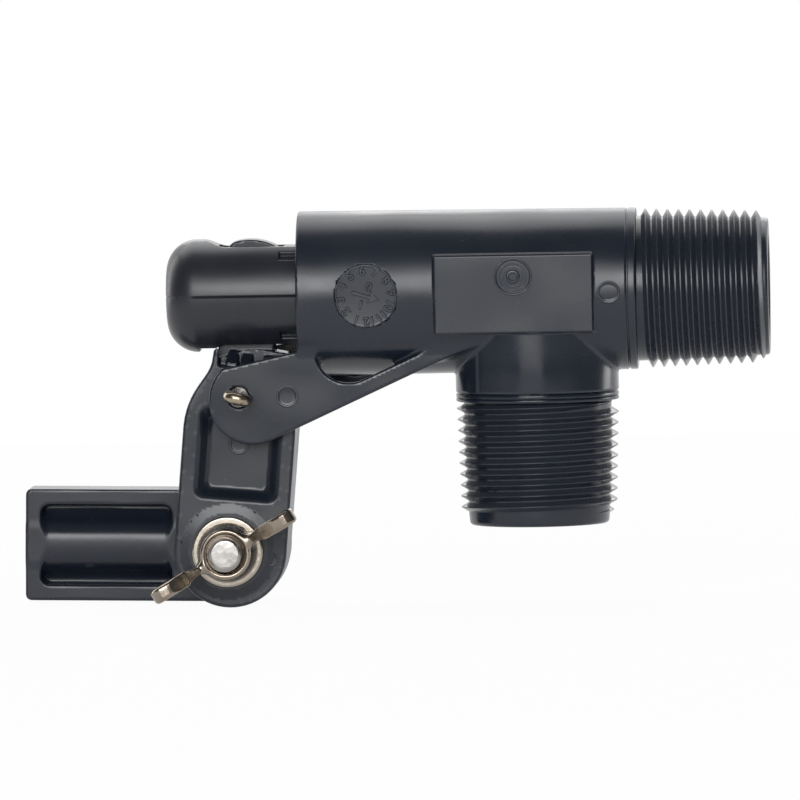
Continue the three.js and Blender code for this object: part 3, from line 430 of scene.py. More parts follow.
def rounded(profile, steps=4):
    """A closed profile of (across, along, round) corners, with its corners rounded."""
    points = []
    for i, (across, along, round_by) in enumerate(profile):
        corner = Vector((across, along))
        before = Vector(profile[i - 1][:2]) - corner
        after = Vector(profile[(i + 1) % len(profile)][:2]) - corner
        if round_by == 0:
            points.append(tuple(corner))
            continue
        first = corner + before.normalized() * round_by
        last = corner + after.normalized() * round_by
        for step in range(steps + 1):
            share = step / steps
            bend = first * (1 - share) ** 2 + corner * 2 * share * (1 - share) + last * share**2
            points.append(tuple(bend))
    return points


def evaluated_mesh(made):
    ready = made.evaluated_get(bpy.context.evaluated_depsgraph_get())
    return bpy.data.meshes.new_from_object(ready)


def put(mesh, turn, centre):
    """Turns a mesh about the origin, then moves it to its centre in millimetres."""
    mesh.transform(Matrix.Translation(Vector(centre) * MM) @ turn.to_matrix().to_4x4())


def settled(made):
    """The object with its modifiers made part of its mesh."""
    result = evaluated_mesh(made)
    made.modifiers.clear()
    made.data = result
    return made


def turned(name, profile, turn, centre, steps=144):
    """A piece made on a lathe from a closed profile of (radius, place, round) corners.
    Its axis is +Z before the turn. Doubles on the axis are merged, faces turned outwards,
    and normals weighted by face."""
    points = rounded(profile)
    angles = np.linspace(0, 2 * math.pi, steps, endpoint=False)
    rings = [[(r * math.cos(a), r * math.sin(a), along) for a in angles] for r, along in points]
    count = len(points)
    faces = []
    for i in range(count):
        for j in range(steps):
            after = (i + 1) % count
            here, there = i * steps, after * steps
            faces.append((here + j, here + (j + 1) % steps, there + (j + 1) % steps, there + j))
    made = mesh_object(name, np.array(rings).reshape(-1, 3), faces)
    work = bmesh.new()
    work.from_mesh(made.data)
    bmesh.ops.remove_doubles(work, verts=work.verts, dist=0.002 * MM)
    bmesh.ops.dissolve_degenerate(work, edges=work.edges, dist=0.001 * MM)
    bmesh.ops.recalc_face_normals(work, faces=work.faces)
    work.to_mesh(made.data)
    work.free()
    put(made.data, turn, centre)
    made.modifiers.new("even_normals", "WEIGHTED_NORMAL").keep_sharp = True
    return settled(made)


def finish_piece(made, body, material, slot_name, *nodes):
    """Gives a finished piece its material and its body, and hides the nodes it stands for. Its slot name is
    not used.
    """
    made.data.materials.clear()
    made.data.materials.append(material)
    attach(made, body)
    if nodes:
        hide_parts(*nodes)


def finish_body(made, *nodes):
    finish_piece(made, "valve_body", body_pvc, "body_pvc", *nodes)


TO_X = Euler((0, math.pi / 2, 0))
DOWN = Euler((math.pi, 0, 0))
TO_FRONT = Euler((math.pi / 2, 0, 0))
TO_BACK = Euler((-math.pi / 2, 0, 0))

inlet_length = 20.6
inlet_radius = 13.2
inlet_tip = inlet_length + 1.2


def core_radius(crest, along):
    return crest - thread_depth - along * thread_taper


finish_body(turned("inlet_stub", [
    (pipe_bore, -2.4, 0),
    (barrel_radius - 0.5, -2.4, 0), (barrel_radius - 0.5, -1.3, 0),
    (barrel_radius - 0.3, -1.3, 0.2), (barrel_radius - 0.3, 0, 0.3),
    (core_radius(inlet_radius, 0), 0, 0.2),
    (core_radius(inlet_radius, inlet_length), inlet_length, 0),
    (core_radius(inlet_radius, inlet_tip), inlet_tip, 0.5),
    (pipe_bore, inlet_tip, 0.4),
], TO_X, (collar, 0, 0)))

outlet_length = 18.7
outlet_radius = 13.45
outlet_tip = outlet_length + 1.8
shoulder = body_low.z + outlet_tip

finish_body(turned("outlet_stub", [
    (pipe_bore, -2.4, 0),
    (neck_radius - 0.5, -2.4, 0), (neck_radius - 0.5, -1.35, 0), (neck_radius - 0.02, -1.35, 0.2),
    (neck_radius, -0.75, 0.15), (neck_radius - 0.3, -0.65, 0.1), (neck_radius, -0.55, 0.15),
    (neck_radius, 0, 0.3),
    (core_radius(outlet_radius, 0), 0, 0.2),
    (core_radius(outlet_radius, outlet_length), outlet_length, 0),
    (core_radius(outlet_radius, outlet_tip) - 0.1, outlet_tip, 0.7),
    (pipe_bore, outlet_tip, 0.5),
], DOWN, (outlet_x, 0, shoulder)))

# ----------------------------------------
# Threads: one ridge wound on each core, 14 turns to the inch and tapering, with its
# ends faded out. The same tree winds the finer threads of the bolt and the screw.


def thread_tree():
    """Winds a four-cornered ridge along a spiral, and fades it out at both ends."""
    tree = bpy.data.node_groups.new("wound_thread", "GeometryNodeTree")
    lengths = ("Start Radius", "End Radius", "Length", "Depth", "Foot Width", "Crest Width")
    for name in ("Turns", "Run Out", *lengths):
        tree.interface.new_socket(name, in_out="INPUT", socket_type="NodeSocketFloat")
    tree.interface.new_socket("Finish", in_out="INPUT", socket_type="NodeSocketMaterial")
    tree.interface.new_socket("Geometry", in_out="OUTPUT", socket_type="NodeSocketGeometry")
    sizes = add_node(tree, "NodeGroupInput").outputs

    def corner(out, width, share):
        along = calculated(tree, "MULTIPLY", sizes[width], share)
        return add_node(tree, "ShaderNodeCombineXYZ", feeds={"X": out, "Y": along}).outputs[0]

    sunk = 0.15 * MM
    crest = calculated(tree, "MULTIPLY", sizes["Depth"], -1.0)
    spiral = add_node(tree, "GeometryNodeCurveSpiral", feeds={
        "Resolution": 96, "Rotations": sizes["Turns"], "Start Radius": sizes["Start Radius"],
        "End Radius": sizes["End Radius"], "Height": sizes["Length"]})
    upright = add_node(tree, "GeometryNodeSetCurveNormal", {"mode": "Z_UP"}, {"Curve": spiral.outputs[0]})
    section = add_node(tree, "GeometryNodeCurvePrimitiveQuadrilateral", {"mode": "POINTS"}, {
        "Point 1": corner(sunk, "Foot Width", 0.5), "Point 2": corner(crest, "Crest Width", 0.5),
        "Point 3": corner(crest, "Crest Width", -0.5), "Point 4": corner(sunk, "Foot Width", -0.5)})
    along = add_node(tree, "GeometryNodeSplineParameter").outputs["Factor"]
    nearer = calculated(tree, "MINIMUM", along, calculated(tree, "SUBTRACT", 1.0, along))
    fade = ranged(tree, nearer, 0.0, sizes["Run Out"], 0.05, 1.0)
    ridge = add_node(tree, "GeometryNodeCurveToMesh", feeds={
        "Curve": upright.outputs[0], "Profile Curve": section.outputs[0], "Scale": fade, "Fill Caps": True})
    real = add_node(tree, "GeometryNodeRealizeInstances", feeds={"Geometry": ridge.outputs[0]})
    done = add_node(tree, "GeometryNodeSetMaterial", feeds={
        "Geometry": real.outputs[0], "Material": sizes["Finish"]})
    add_node(tree, "NodeGroupOutput", feeds={"Geometry": done.outputs[0]})
    return tree


wound_thread = thread_tree()


def wound(name, sizes_mm, turns, run_out, material, turn, centre):
    """A thread's ridge as a plain mesh, from the tree above. Its axis is +Z before the turn."""
    made = mesh_object(name, np.zeros((0, 3)), [])
    winding = made.modifiers.new("winding", "NODES")
    winding.node_group = wound_thread
    values = {name: size * MM for name, size in sizes_mm.items()}
    values.update({"Turns": turns, "Run Out": run_out, "Finish": material})
    for socket in wound_thread.interface.items_tree:
        if socket.in_out == "INPUT":
            winding[socket.identifier] = values[socket.name]
    settled(made)
    # the spiral turns the wrong way for a right-hand thread
    made.data.transform(Matrix.Scale(-1, 4, (0, 1, 0)))
    made.data.flip_normals()
    made.data.set_sharp_from_angle(angle=math.radians(35))
    put(made.data, turn, centre)
    return made


thread_pitch = 25.4 / 14


def pipe_thread(name, crest, start, finish, turns, turn, centre):
    sizes = {
        "Start Radius": core_radius(crest, start), "End Radius": core_radius(crest, finish),
        "Length": finish - start, "Depth": thread_depth,
        "Foot Width": thread_pitch * 0.97, "Crest Width": 0.16,
    }
    shift = turn.to_matrix() @ Vector((0, 0, start))
    made = wound(name, sizes, turns, 0.02, body_pvc, turn, Vector(centre) + shift)
    finish_body(made)


pipe_thread("inlet_thread", inlet_radius, 0.6, 20.9, 11.1, TO_X, (collar, 0, 0))
pipe_thread("outlet_thread", outlet_radius, 0.3, 18.6, 10.1, DOWN, (outlet_x, 0, shoulder))

# ----------------------------------------
# Mould marks: the gate's scar on the pad, the ejector pins' discs, and the date dial, a
# round insert in the mould with the months' numbers and an arrow.


def raised_disc(name, radius, height, place, body="valve_body", slot_name="body_pvc", material=body_pvc):
    """A low disc with a soft edge and a slight dish, facing the front."""
    made = turned(name, [
        (0, -0.4, 0), (radius, -0.4, 0), (radius, height, height * 0.7),
        (radius - 0.3, height, 0.12), (radius - 0.6, height * 0.45, 0.2), (0, height * 0.3, 0),
    ], TO_FRONT, place, 48)
    finish_piece(made, body, material, slot_name)


gate_place = (pad_right - 13.1, -pad_face, 2.8)
finish_body(turned("gate_disc", [
    (0, -0.4, 0), (3.15, -0.4, 0), (3.15, 0.14, 0.1), (2.85, 0.14, 0.1), (2.7, 0.0, 0.08),
    (2.2, 0.03, 0.05), (2.1, -0.03, 0.05), (1.6, 0.02, 0.05), (1.5, -0.04, 0.05), (1.2, -0.04, 0.1),
    (1.05, 0.12, 0.08), (0.7, 0.16, 0.1), (0.55, -0.12, 0.1), (0, -0.2, 0),
], TO_FRONT, gate_place, 64))

raised_disc("ear_pin_mark", 1.85, 0.12, (pivot.x + 8.1, -ear_outer, pivot.z))
raised_disc("collar_pin_mark", 1.9, 0.2, (collar - 4.4, -(barrel_radius - 0.3) + 0.12, 0))


def mesh_of_curve(name, curve):
    """A curve or a text as a plain mesh."""
    shaped = placed(bpy.data.objects.new(name, curve))
    mesh = evaluated_mesh(shaped)
    bpy.data.objects.remove(shaped)
    return placed(bpy.data.objects.new(name, mesh))


def raised_figure(name, curve, place, spin):
    """A moulded figure standing on the dial, with sloping sides, facing the front."""
    curve.extrude = 0.08 * MM
    curve.bevel_depth = 0.11 * MM
    curve.bevel_resolution = 0
    made = mesh_of_curve(name, curve)
    made.data.transform(Matrix.Rotation(spin, 4, "Z"))
    put(made.data, TO_FRONT, place)
    finish_body(made)


def raised_number(name, text, height, place, spin):
    """A figure of the given height, set in Blender's own plain letters."""
    curve = bpy.data.curves.new(name, "FONT")
    curve.body = text
    curve.size = height * MM
    curve.offset = 0.01 * MM
    curve.align_x = "CENTER"
    curve.align_y = "CENTER"
    raised_figure(name, curve, place, spin)


finish_body(turned("date_dial", [
    (0, -1.4, 0), (dial_radius, -1.4, 0), (dial_radius, 0, 0.15), (dial_radius - 0.35, 0, 0),
    (dial_radius - 0.45, -0.07, 0), (0, -0.07, 0),
], TO_FRONT, (dial_x, -dial_face, 0), 72))

months = 12
figure_height = 2.0
figure_ring = dial_radius - 1.05
first_month_angle = math.radians(-113)
for month in range(1, months + 1):
    angle = first_month_angle - (month - 1) * 2 * math.pi / months
    place = (dial_x + figure_ring * math.cos(angle), -dial_face, figure_ring * math.sin(angle))
    raised_number(f"dial_figure_{month}", str(month), figure_height, place, angle - math.pi / 2)
arrow_turn = math.radians(-17)
raised_number("dial_year_left", "0", figure_height, (dial_x + 0.5, -dial_face, 1.45), arrow_turn)
raised_number("dial_year_right", "1", figure_height, (dial_x - 0.9, -dial_face, -1.5), arrow_turn)
arrow_curve = bpy.data.curves.new("dial_arrow", "CURVE")
arrow_curve.dimensions = "2D"
arrow_curve.fill_mode = "BOTH"
arrow_line = arrow_curve.splines.new("POLY")
arrow_shape = [(-2.2, 0.2), (0.9, 0.2), (0.7, 0.85), (2.2, 0), (0.7, -0.85), (0.9, -0.2), (-2.2, -0.2)]
arrow_line.points.add(len(arrow_shape) - 1)
for point, (x, z) in zip(arrow_line.points, arrow_shape):
    point.co = (x * MM, z * MM, 0, 1)
arrow_line.use_cyclic_u = True
raised_figure("dial_arrow", arrow_curve, (dial_x - 0.1, -dial_face, 0), arrow_turn)

# ----------------------------------------
# Seat nozzle: a turned PVC insert pressed into the partition. Its raised lip is what
# the rubber seal closes on.

seat_low, seat_high = box_mm("seat_nozzle")
orifice = 4.6
flange_left = seat_low.x + 2.0
flange_right = seat_low.x + 3.3
seat_nozzle = turned("seat_insert", [
    (orifice, seat_low.x, 0.2),
    (orifice + 1.0, seat_low.x, 0.3),
    (orifice + 1.6, flange_left, 0.2),
    (seat_high.z, flange_left, 0.2),
    (seat_high.z, flange_right, 0.2),
    (orifice + 1.8, flange_right, 0.2),
    (orifice + 1.8, seat_high.x, 0.2),
    (orifice + 1.0, seat_high.x, 0.2),
    (orifice, seat_high.x - 1.8, 0.3),
], TO_X, (0, 0, 0), 96)
finish_body(seat_nozzle, "seat_nozzle")

# ----------------------------------------
# Plunger: a solid PVC piston. Its outer end is a rounded bulb, with flats above and
# below behind it, a slot for the lever's paddle, and four grooves that let water past.

plunger_low, plunger_high = box_mm("plunger")
plunger_radius = 9.35
ring_low, ring_high = box_mm("plunger_o_ring")
ring_x = (ring_low.x + ring_high.x) / 2
seal_low, seal_high = box_mm("seal_disc")
seal_radius = seal_high.z
flat_height = plunger_radius - 1.29
slot_middle = pivot.x + 1.914
slot_half_length = 8.5
slot_half_width = 3.3
slot_top_radius = 9.6
flute_start = plunger_low.x + 19.0
flute_width = 1.5
flute_depth = 0.75
flute_end = ring_x - 9.65
waist_start = outlet_x - 9.5
waist_end = seal_low.x - 2.7
waist_radius = 8.4
groove_half_width = 1.15
groove_radius = 7.155
end_round = 5.2
bulb_end = plunger_low.x + 5.9
ramp = 4.1
flat_end = bulb_end + ramp + 16


def plunger_field(x, y, z):
    around = np.hypot(y, z)
    end = meet(around - plunger_radius, plunger_low.x - x, end_round)
    body = meet(end, x - plunger_high.x, 0.25)
    waist = meet(slab(x, waist_start, waist_end), waist_radius - around)
    groove = meet(slab(x, ring_x - groove_half_width, ring_x + groove_half_width), groove_radius - around)
    cup = meet(around - seal_radius - 0.3, seal_low.x - 0.3 - x)
    share = np.clip((x - bulb_end) / ramp, 0, 1)
    dip = (plunger_radius - flat_height) * share * share * (3 - 2 * share)
    body = np.maximum(body, np.minimum(np.abs(z) - plunger_radius + dip, flat_end - x))
    slot_ends = (slot_middle - slot_half_length, slot_middle + slot_half_length)
    slot = block(x, y, z, (slot_ends, (-slot_half_width, slot_half_width), (-12, 12)), 0.3)
    # its upper ends follow the paddle's round top
    slot = meet(slot, np.hypot(x - slot_middle, np.maximum(z, 0)) - slot_top_radius, 0.3)
    side = np.abs(np.abs(y) - np.abs(z)) / math.sqrt(2) - flute_width / 2
    flute = meet(meet(side, plunger_radius - flute_depth - around), slab(x, flute_start, flute_end))
    parting = meet(np.abs(z) - 0.1, -end - 0.07)
    carved = join(join(join(waist, groove), cup), join(slot, flute))
    return meet(meet(body, -carved, 0.3), -parting, 0.06)


plunger = moulded("plunger_body", plunger_field, plunger_low, plunger_high, 0.33)
plunger_pvc = moulded_pvc("moulded_pvc_plunger", "20232b", "282b33", 0.31)
finish_piece(plunger, "plunger", plunger_pvc, "plunger_pvc", "plunger")

# ----------------------------------------
# Seal: a nitrile rubber disc in the plunger's cup, held by a stainless screw, and a
# rubber ring that keeps water from the barrel's open end.


def nitrile_rubber(name):
    """Moulded nitrile rubber. It is nearly black and matt, with a fine dusty bloom."""
    material, tree, shader, place = new_material(name)
    shader.inputs["IOR"].default_value = 1.52
    bloom = noise(tree, place, 3, 5.0)
    colour = mixed_colour(tree, bloom, linear("151617"), linear("232425"))
    connect(tree, shader, colour, ranged(tree, bloom, 0.0, 1.0, 0.6, 0.85))
    return material


def bright_stainless(name, base, light, gloss, dent_depth=0.06):
    """Cold-formed 304 stainless steel, barrel-tumbled. It is warm and bright, with
    shallow dents from tumbling, fine scratches, and gloss that varies in patches."""
    material, tree, shader, place = new_material(name)
    shader.inputs["Metallic"].default_value = 1.0
    patches = noise(tree, place, 2.2, 4.0)
    dents = add_node(tree, "ShaderNodeTexVoronoi", feeds={"Vector": place, "Scale": per_metre(1.1)})
    stretched = add_node(tree, "ShaderNodeMapping", feeds={"Vector": place, "Scale": (1.0, 1.0, 9.0)})
    scratches = noise(tree, stretched.outputs[0], 0.8, 3.0)
    colour = mixed_colour(tree, patches, linear(base), linear(light))
    roughness = ranged(tree, patches, 0.3, 0.7, gloss - 0.06, gloss + 0.1)
    dented = bumped(tree, dents.outputs["Distance"], 0.3, dent_depth)
    scratched = bumped(tree, scratches, 0.2, 0.03, dented)
    connect(tree, shader, colour, roughness, scratched)
    return material


rubber = nitrile_rubber("nitrile_rubber")
stainless = bright_stainless("tumbled_stainless", "a89f92", "c8c0b4", 0.22)

ring_half = (ring_high.x - ring_low.x) / 2
ring_middle = ring_high.z - ring_half
ring_section = [(*point, 0) for point in arc((ring_middle, 0), ring_half, 0, 2 * math.pi, 21)[:-1]]
o_ring = turned("o_ring", ring_section, TO_X, (ring_x, 0, 0), 96)
finish_piece(o_ring, "plunger", rubber, "seal_rubber", "plunger_o_ring")

screw_hole = 1.8
disc = turned("rubber_seal", [
    (screw_hole, seal_low.x, 0.1), (seal_radius, seal_low.x, 0.2),
    (seal_radius, seal_high.x, 0.35), (screw_hole, seal_high.x, 0.1),
], TO_X, (0, 0, 0), 96)
finish_piece(disc, "plunger", rubber, "seal_rubber", "seal_disc")

screw_low, screw_high = box_mm("seal_screw")
screw_head = 1.8
head_radius = screw_high.z


def seal_screw_field(x, y, z):
    around = np.hypot(y, z)
    under = screw_high.x - screw_head
    dome = np.hypot(around, x - (screw_high.x - 3.6)) - 3.6
    head = meet(meet(around - head_radius, dome, 0.2), under - x, 0.15)
    driver = block(x, y, z, ((screw_high.x - 0.8, screw_high.x + 1), (-0.4, 0.4), (-4, 4)), 0.1)
    point = np.minimum(0, (x - screw_low.x - 2) * 0.3)
    shank = meet(around - 1.2 - point, slab(x, screw_low.x, under + 0.5), 0.1)
    return meet(join(head, shank, 0.1), -driver, 0.1)


seal_screw = moulded("screw_head_and_shank", seal_screw_field, screw_low, screw_high, 0.16)
finish_piece(seal_screw, "plunger", stainless, "stainless", "seal_screw")
screw_thread_sizes = {
    "Start Radius": 1.18, "End Radius": 1.18, "Length": 8.4,
    "Depth": 0.32, "Foot Width": 0.6, "Crest Width": 0.08,
}
screw_thread_start = (screw_low.x + 1.6, 0, 0)
screw_thread = wound("screw_thread", screw_thread_sizes, 10, 0.06, stainless, TO_X, screw_thread_start)
finish_piece(screw_thread, "plunger", stainless, "stainless")

# ----------------------------------------
# Lever: a thick PVC link. Its paddle works in the plunger's slot, ribs brace the neck
# under it, its faces have a shallow pocket, and its round foot is the clamp's seat.

to_lever = math.atan2(pivot.x - bolt.x, pivot.z - bolt.z)
lever_drop = math.hypot(pivot.x - bolt.x, pivot.z - bolt.z)
lever_offset = 0.4
lever_half_width = 9.3
lever_half_depth = 7.45
neck_half_width = 4.65
shoulder_top = 5.4
shoulder_peak = 8.6
front_top = 7.5
clamp_gap = 0.06
shoulder_foot = -5.5
paddle_rise = (-pivot.z + lever_offset * math.sin(to_lever)) / math.cos(to_lever)
paddle_radius = 8.2
paddle_crown = 1.05
paddle_half_depth = 3.0
rib_places = (-1.6, 0.8, 4.4)
rib_height = 1.9
lever_pocket_middle = -9.6
lever_pocket_half_length = 7.4
lever_pocket_half_width = 6.6
lever_pocket_depth = 2.2
boss_radius = 7.9
boss_flat_radius = 6.4
bolt_hole_radius = 3.45


def bezier(points, steps=14):
    """Points along a smooth curve from its first to its last control point."""
    places = [Vector(point) for point in points]
    result = []
    for share in np.linspace(0, 1, steps):
        level = places
        while len(level) > 1:
            level = [a.lerp(b, share) for a, b in zip(level, level[1:])]
        result.append(tuple(level[0]))
    return result


def lever_outline():
    """The lever seen from the side, without its paddle. The pivot is at the origin."""
    left, right = lever_offset - lever_half_width, lever_offset + lever_half_width
    neck_left = lever_offset - neck_half_width - 0.7
    neck_right = lever_offset + neck_half_width + 2.3
    points = [(neck_left + 0.3, shoulder_peak)]
    points += bezier([
        (neck_left, shoulder_top), (neck_left - 0.3, 2.6), (left + 0.2, 0.6), (left, shoulder_foot)])
    points += arc((lever_offset, -lever_drop), lever_half_width, math.pi, 2 * math.pi, 32)
    points += bezier([
        (right, shoulder_foot), (right - 0.2, 0.6), (neck_right + 0.3, 2.6), (neck_right, shoulder_top)])
    return points + [(neck_right, front_top)]


def lever_field(x, y, z):
    u, w = along_axes(pivot, to_lever, x, z)
    depth = np.abs(y)
    from_middle = u - lever_offset
    faces = slab(y, -lever_half_depth, lever_half_depth - clamp_gap)
    block_part = meet(outline_distance(u, w, lever_outline()), faces, 0.5)
    # the top is hollowed to clear the plunger at every angle of the lever
    clear = plunger_radius + 0.45 + 0.3 * np.maximum(-u, 0) - np.hypot(y, z)
    block_part = meet(block_part, clear, 0.2)
    recess = meet(meet(slab(u, -3.9, 6.9), 4.7 - w, 0.4), 4.3 - depth, 0.4)
    block_part = meet(block_part, -recess, 0.2)
    angle = np.degrees(np.arctan2(np.abs(from_middle), w - paddle_rise))
    fall = np.clip((angle - 20) / 18, 0, 1)
    crown = paddle_radius + paddle_crown * (1 - fall * fall * (3 - 2 * fall))
    disc_part = np.hypot(from_middle, w - paddle_rise) - crown
    neck = meet(np.abs(from_middle) - neck_half_width, slab(w, shoulder_top - 1, paddle_rise))
    paddle = meet(join(disc_part, neck, 0.3), depth - paddle_half_depth, 0.3)
    rise = np.clip((w - shoulder_top) / rib_height, 0, 1)
    ribs = np.inf
    for place in rib_places:
        width = 0.95 - 0.35 * rise
        reach = lever_half_depth - 0.3 - rise * (lever_half_depth - paddle_half_depth - 1.1)
        rib = meet(np.abs(u - place) - width, depth - reach, 0.2)
        rib = meet(rib, slab(w, shoulder_top - 1, shoulder_top + rib_height), 0.2)
        ribs = np.minimum(ribs, rib)
    narrowing = (lever_half_depth - depth) * 0.62
    pocket_across = np.abs(from_middle - 0.2) - lever_pocket_half_width + narrowing
    pocket_along = np.abs(w - lever_pocket_middle) - lever_pocket_half_length + narrowing
    pocket = meet(
        meet(pocket_across, pocket_along, 1.3), lever_half_depth - lever_pocket_depth - depth, 0.6)
    whole = join(join(block_part, paddle, 0.5), ribs, 0.3)
    whole = meet(whole, -pocket, 0.6)
    from_bolt = from_axis(bolt, x, z)
    boss_face = lever_half_depth + 0.25 - 0.16 * np.maximum(from_bolt - boss_flat_radius, 0)
    whole = np.minimum(whole, meet(meet(-y - boss_face, y), from_bolt - boss_radius))
    pin_hole = from_axis(pivot, x, z) - pin_hole_radius
    return meet(whole, -join(pin_hole, from_bolt - bolt_hole_radius), 0.3)


lever_low, lever_high = box_mm("lever")
lever = moulded("lever_moulding", lever_field, lever_low, lever_high, 0.34)
lever_pvc = moulded_pvc("moulded_pvc_lever", "1d222c", "252b36", 0.28)
finish_piece(lever, "lever", lever_pvc, "lever_pvc", "lever")

for number, (across, down) in enumerate(((-6.2, -lever_drop + 1.2), (7.1, -lever_drop - 0.6))):
    mark_x = pivot.x + across * math.cos(to_lever) + down * math.sin(to_lever)
    mark_z = pivot.z - across * math.sin(to_lever) + down * math.cos(to_lever)
    mark_place = (mark_x, -lever_half_depth, mark_z)
    raised_disc(f"lever_pin_mark_{number}", 1.4, 0.1, mark_place, "lever", "lever_pvc", lever_pvc)
pocket_mark_down = 8.0
pocket_mark_place = (
    pivot.x + lever_offset - pocket_mark_down * math.sin(to_lever),
    -lever_half_depth + lever_pocket_depth,
    pivot.z - pocket_mark_down * math.cos(to_lever),
)
raised_disc("pocket_pin_mark", 1.75, 0.14, pocket_mark_place, "lever", "lever_pvc", lever_pvc)

# ----------------------------------------
# Cotter pin: stainless wire bent double. Its eye stands outside the front ear, and its
# two legs are bent apart behind the rear one.

pin_front = box_mm("pivot_cotter_pin")[0].y
wire_radius = 0.66
eye_turn = math.radians(15)


def swept(name, path, shares, radius):
    """A round wire along a list of points in millimetres, its radius in shares of the whole."""
    curve = bpy.data.curves.new(name, "CURVE")
    curve.dimensions = "3D"
    curve.bevel_depth = radius * MM
    curve.bevel_resolution = 4
    curve.resolution_u = 8
    curve.use_fill_caps = True
    spline = curve.splines.new("NURBS")
    spline.points.add(len(path) - 1)
    for point, place, share in zip(spline.points, path, shares):
        point.co = (*(Vector(place) * MM), 1)
        point.radius = share
    spline.order_u = 4
    spline.use_endpoint_u = True
    return mesh_of_curve(name, curve)


def half_pin(side):
    """The path of one half of the pin, from the top of its eye to its leg's end."""
    front = pin_front + 1.1 * wire_radius
    neck = -ear_outer - 0.2
    back = ear_outer + 0.6
    leg = wire_radius
    return [
        (0, front, 0), (side * 0.9, front, 0), (side * 1.5, front + 1.0, 0), (side * 1.45, front + 2.6, 0),
        (side * 0.95, neck, 0), (side * leg, neck + 1.2, 0), (side * leg, 0, 0), (side * leg, back - 0.4, 0),
        (side * 0.8, back + 0.5, 0), (side * 2.0, back + 1.5, 0), (side * 4.5, back + 2.15, 0),
    ]


whole_path = half_pin(-1)[::-1] + half_pin(1)[1:]
pin_turn = Matrix.Rotation(eye_turn, 3, "Y")
placed_path = [pin_turn @ Vector(point) + pivot for point in whole_path]
eye_shares = [1.0] * 5 + [1.15, 1.3, 1.45, 1.5, 1.5] + [1.55] + [1.5, 1.5, 1.45, 1.3, 1.15] + [1.0] * 5
cotter = swept("cotter_pin", placed_path, eye_shares, wire_radius)
pin_steel = bright_stainless("drawn_stainless_wire", "8c7d68", "c0b6a4", 0.24)
finish_piece(cotter, "valve_body", pin_steel, "stainless", "pivot_cotter_pin")

# ----------------------------------------
# Rod holder: a PVC block behind the lever. A deep pocket in each face leaves a rim round
# the tube that takes the float's rod.

holder_low, holder_high = box_mm("rod_holder")
arm_rise = math.radians(1.2)
holder_length = 34.6
holder_half = 9.3
holder_rim = 2.55
holder_web_half = 1.25
hub_flat = 10.2
tube_radius = 5.0
rod_radius = 3.3
socket_depth = 23.0
holder_middle = (holder_low.y + holder_high.y) / 2
holder_half_depth = (holder_high.y - holder_low.y) / 2


def holder_field(x, y, z):
    u, w = along_axes(bolt, arm_rise, x, z)
    depth = np.abs(y - holder_middle)
    hub = from_axis(bolt, x, z) - holder_half
    arm = meet(np.abs(w) - holder_half, slab(u, -holder_length, 0), 1.0)
    whole = meet(join(hub, arm), depth - holder_half_depth, 0.45)
    draft = (holder_half_depth - depth) * 0.05
    pocket_ends = slab(u, -holder_length + holder_rim, -hub_flat) + draft
    pocket_sides = np.abs(w) - holder_half + holder_rim + draft
    pocket = meet(meet(pocket_sides, pocket_ends, 1.5), holder_web_half - depth, 0.5)
    from_rod = np.hypot(w, y - holder_middle)
    tube = meet(from_rod - tube_radius, slab(u, -holder_length + 1, -hub_flat + 0.5))
    whole = meet(join(meet(whole, -pocket, 0.4), tube, 1.5), depth - holder_half_depth, 0.3)
    socket = meet(from_rod - rod_radius, u + holder_length - socket_depth, 0.3)
    bolt_hole = from_axis(bolt, x, z) - bolt_hole_radius
    square_span = (-bolt_hole_radius, bolt_hole_radius)
    square = block(u, y, w, (square_span, (holder_high.y - 3.2, holder_high.y + 2), square_span), 0.2)
    return meet(whole, -join(join(socket, bolt_hole), square), 0.3)


rod_holder = moulded("rod_holder_moulding", holder_field, holder_low, holder_high, 0.34)
holder_pvc = moulded_pvc("moulded_pvc_rod_holder", "1b202b", "222834", 0.25)
finish_piece(rod_holder, "rod_holder", holder_pvc, "lever_pvc", "rod_holder")

# ----------------------------------------
# Carriage bolt: a low domed head over a square neck that the rod holder keeps from
# turning, and a threaded shank. Its end is sheared flat and bright.

bolt_low, bolt_high = box_mm("clamp_bolt")
bolt_core = 2.6
bolt_tip = bolt_low.y
bolt_head = bolt_high.y
bolt_head_radius = 7.6
head_height = 3.3
neck_half = 3.15


def bolt_field(x, y, z):
    around = from_axis(bolt, x, z)
    under = bolt_head - head_height
    sphere = (bolt_head_radius**2 + head_height**2) / (2 * head_height)
    dome = np.hypot(around, y - (bolt_head - sphere)) - sphere
    head = meet(meet(dome, around - bolt_head_radius, 0.4), under - y, 0.25)
    u, w = along_axes(bolt, arm_rise, x, z)
    neck_span = (-neck_half, neck_half)
    square = block(u, y, w, (neck_span, (under - 2.9, under + 0.5), neck_span), 0.3)
    plain = meet(around - 3.05, slab(y, -6.5, under), 0.3)
    worn_end = (around / 2.4) ** 2 * 0.05
    core = meet(around - bolt_core, slab(y, bolt_tip + worn_end, 0), 0.45)
    return join(join(head, square, 0.2), join(plain, core, 0.2))


clamp_bolt = moulded("carriage_bolt", bolt_field, bolt_low, bolt_high, 0.24)
bolt_steel = bright_stainless("cold_headed_stainless", "8f8d8a", "cfccc8", 0.3, 0.12)
finish_piece(clamp_bolt, "rod_holder", bolt_steel, "stainless", "clamp_bolt")
bolt_thread_sizes = {
    "Start Radius": bolt_core, "End Radius": bolt_core, "Length": 9.0,
    "Depth": 0.45, "Foot Width": 1.2, "Crest Width": 0.15,
}
bolt_thread_start = (bolt.x, bolt_tip + 0.9, bolt.z)
bolt_thread = wound("bolt_thread", bolt_thread_sizes, 7, 0.05, bolt_steel, TO_BACK, bolt_thread_start)
finish_piece(bolt_thread, "rod_holder", bolt_steel, "stainless")

# ----------------------------------------
# Washer: punched from stainless sheet, so one rim is rolled over and the other is sharp.

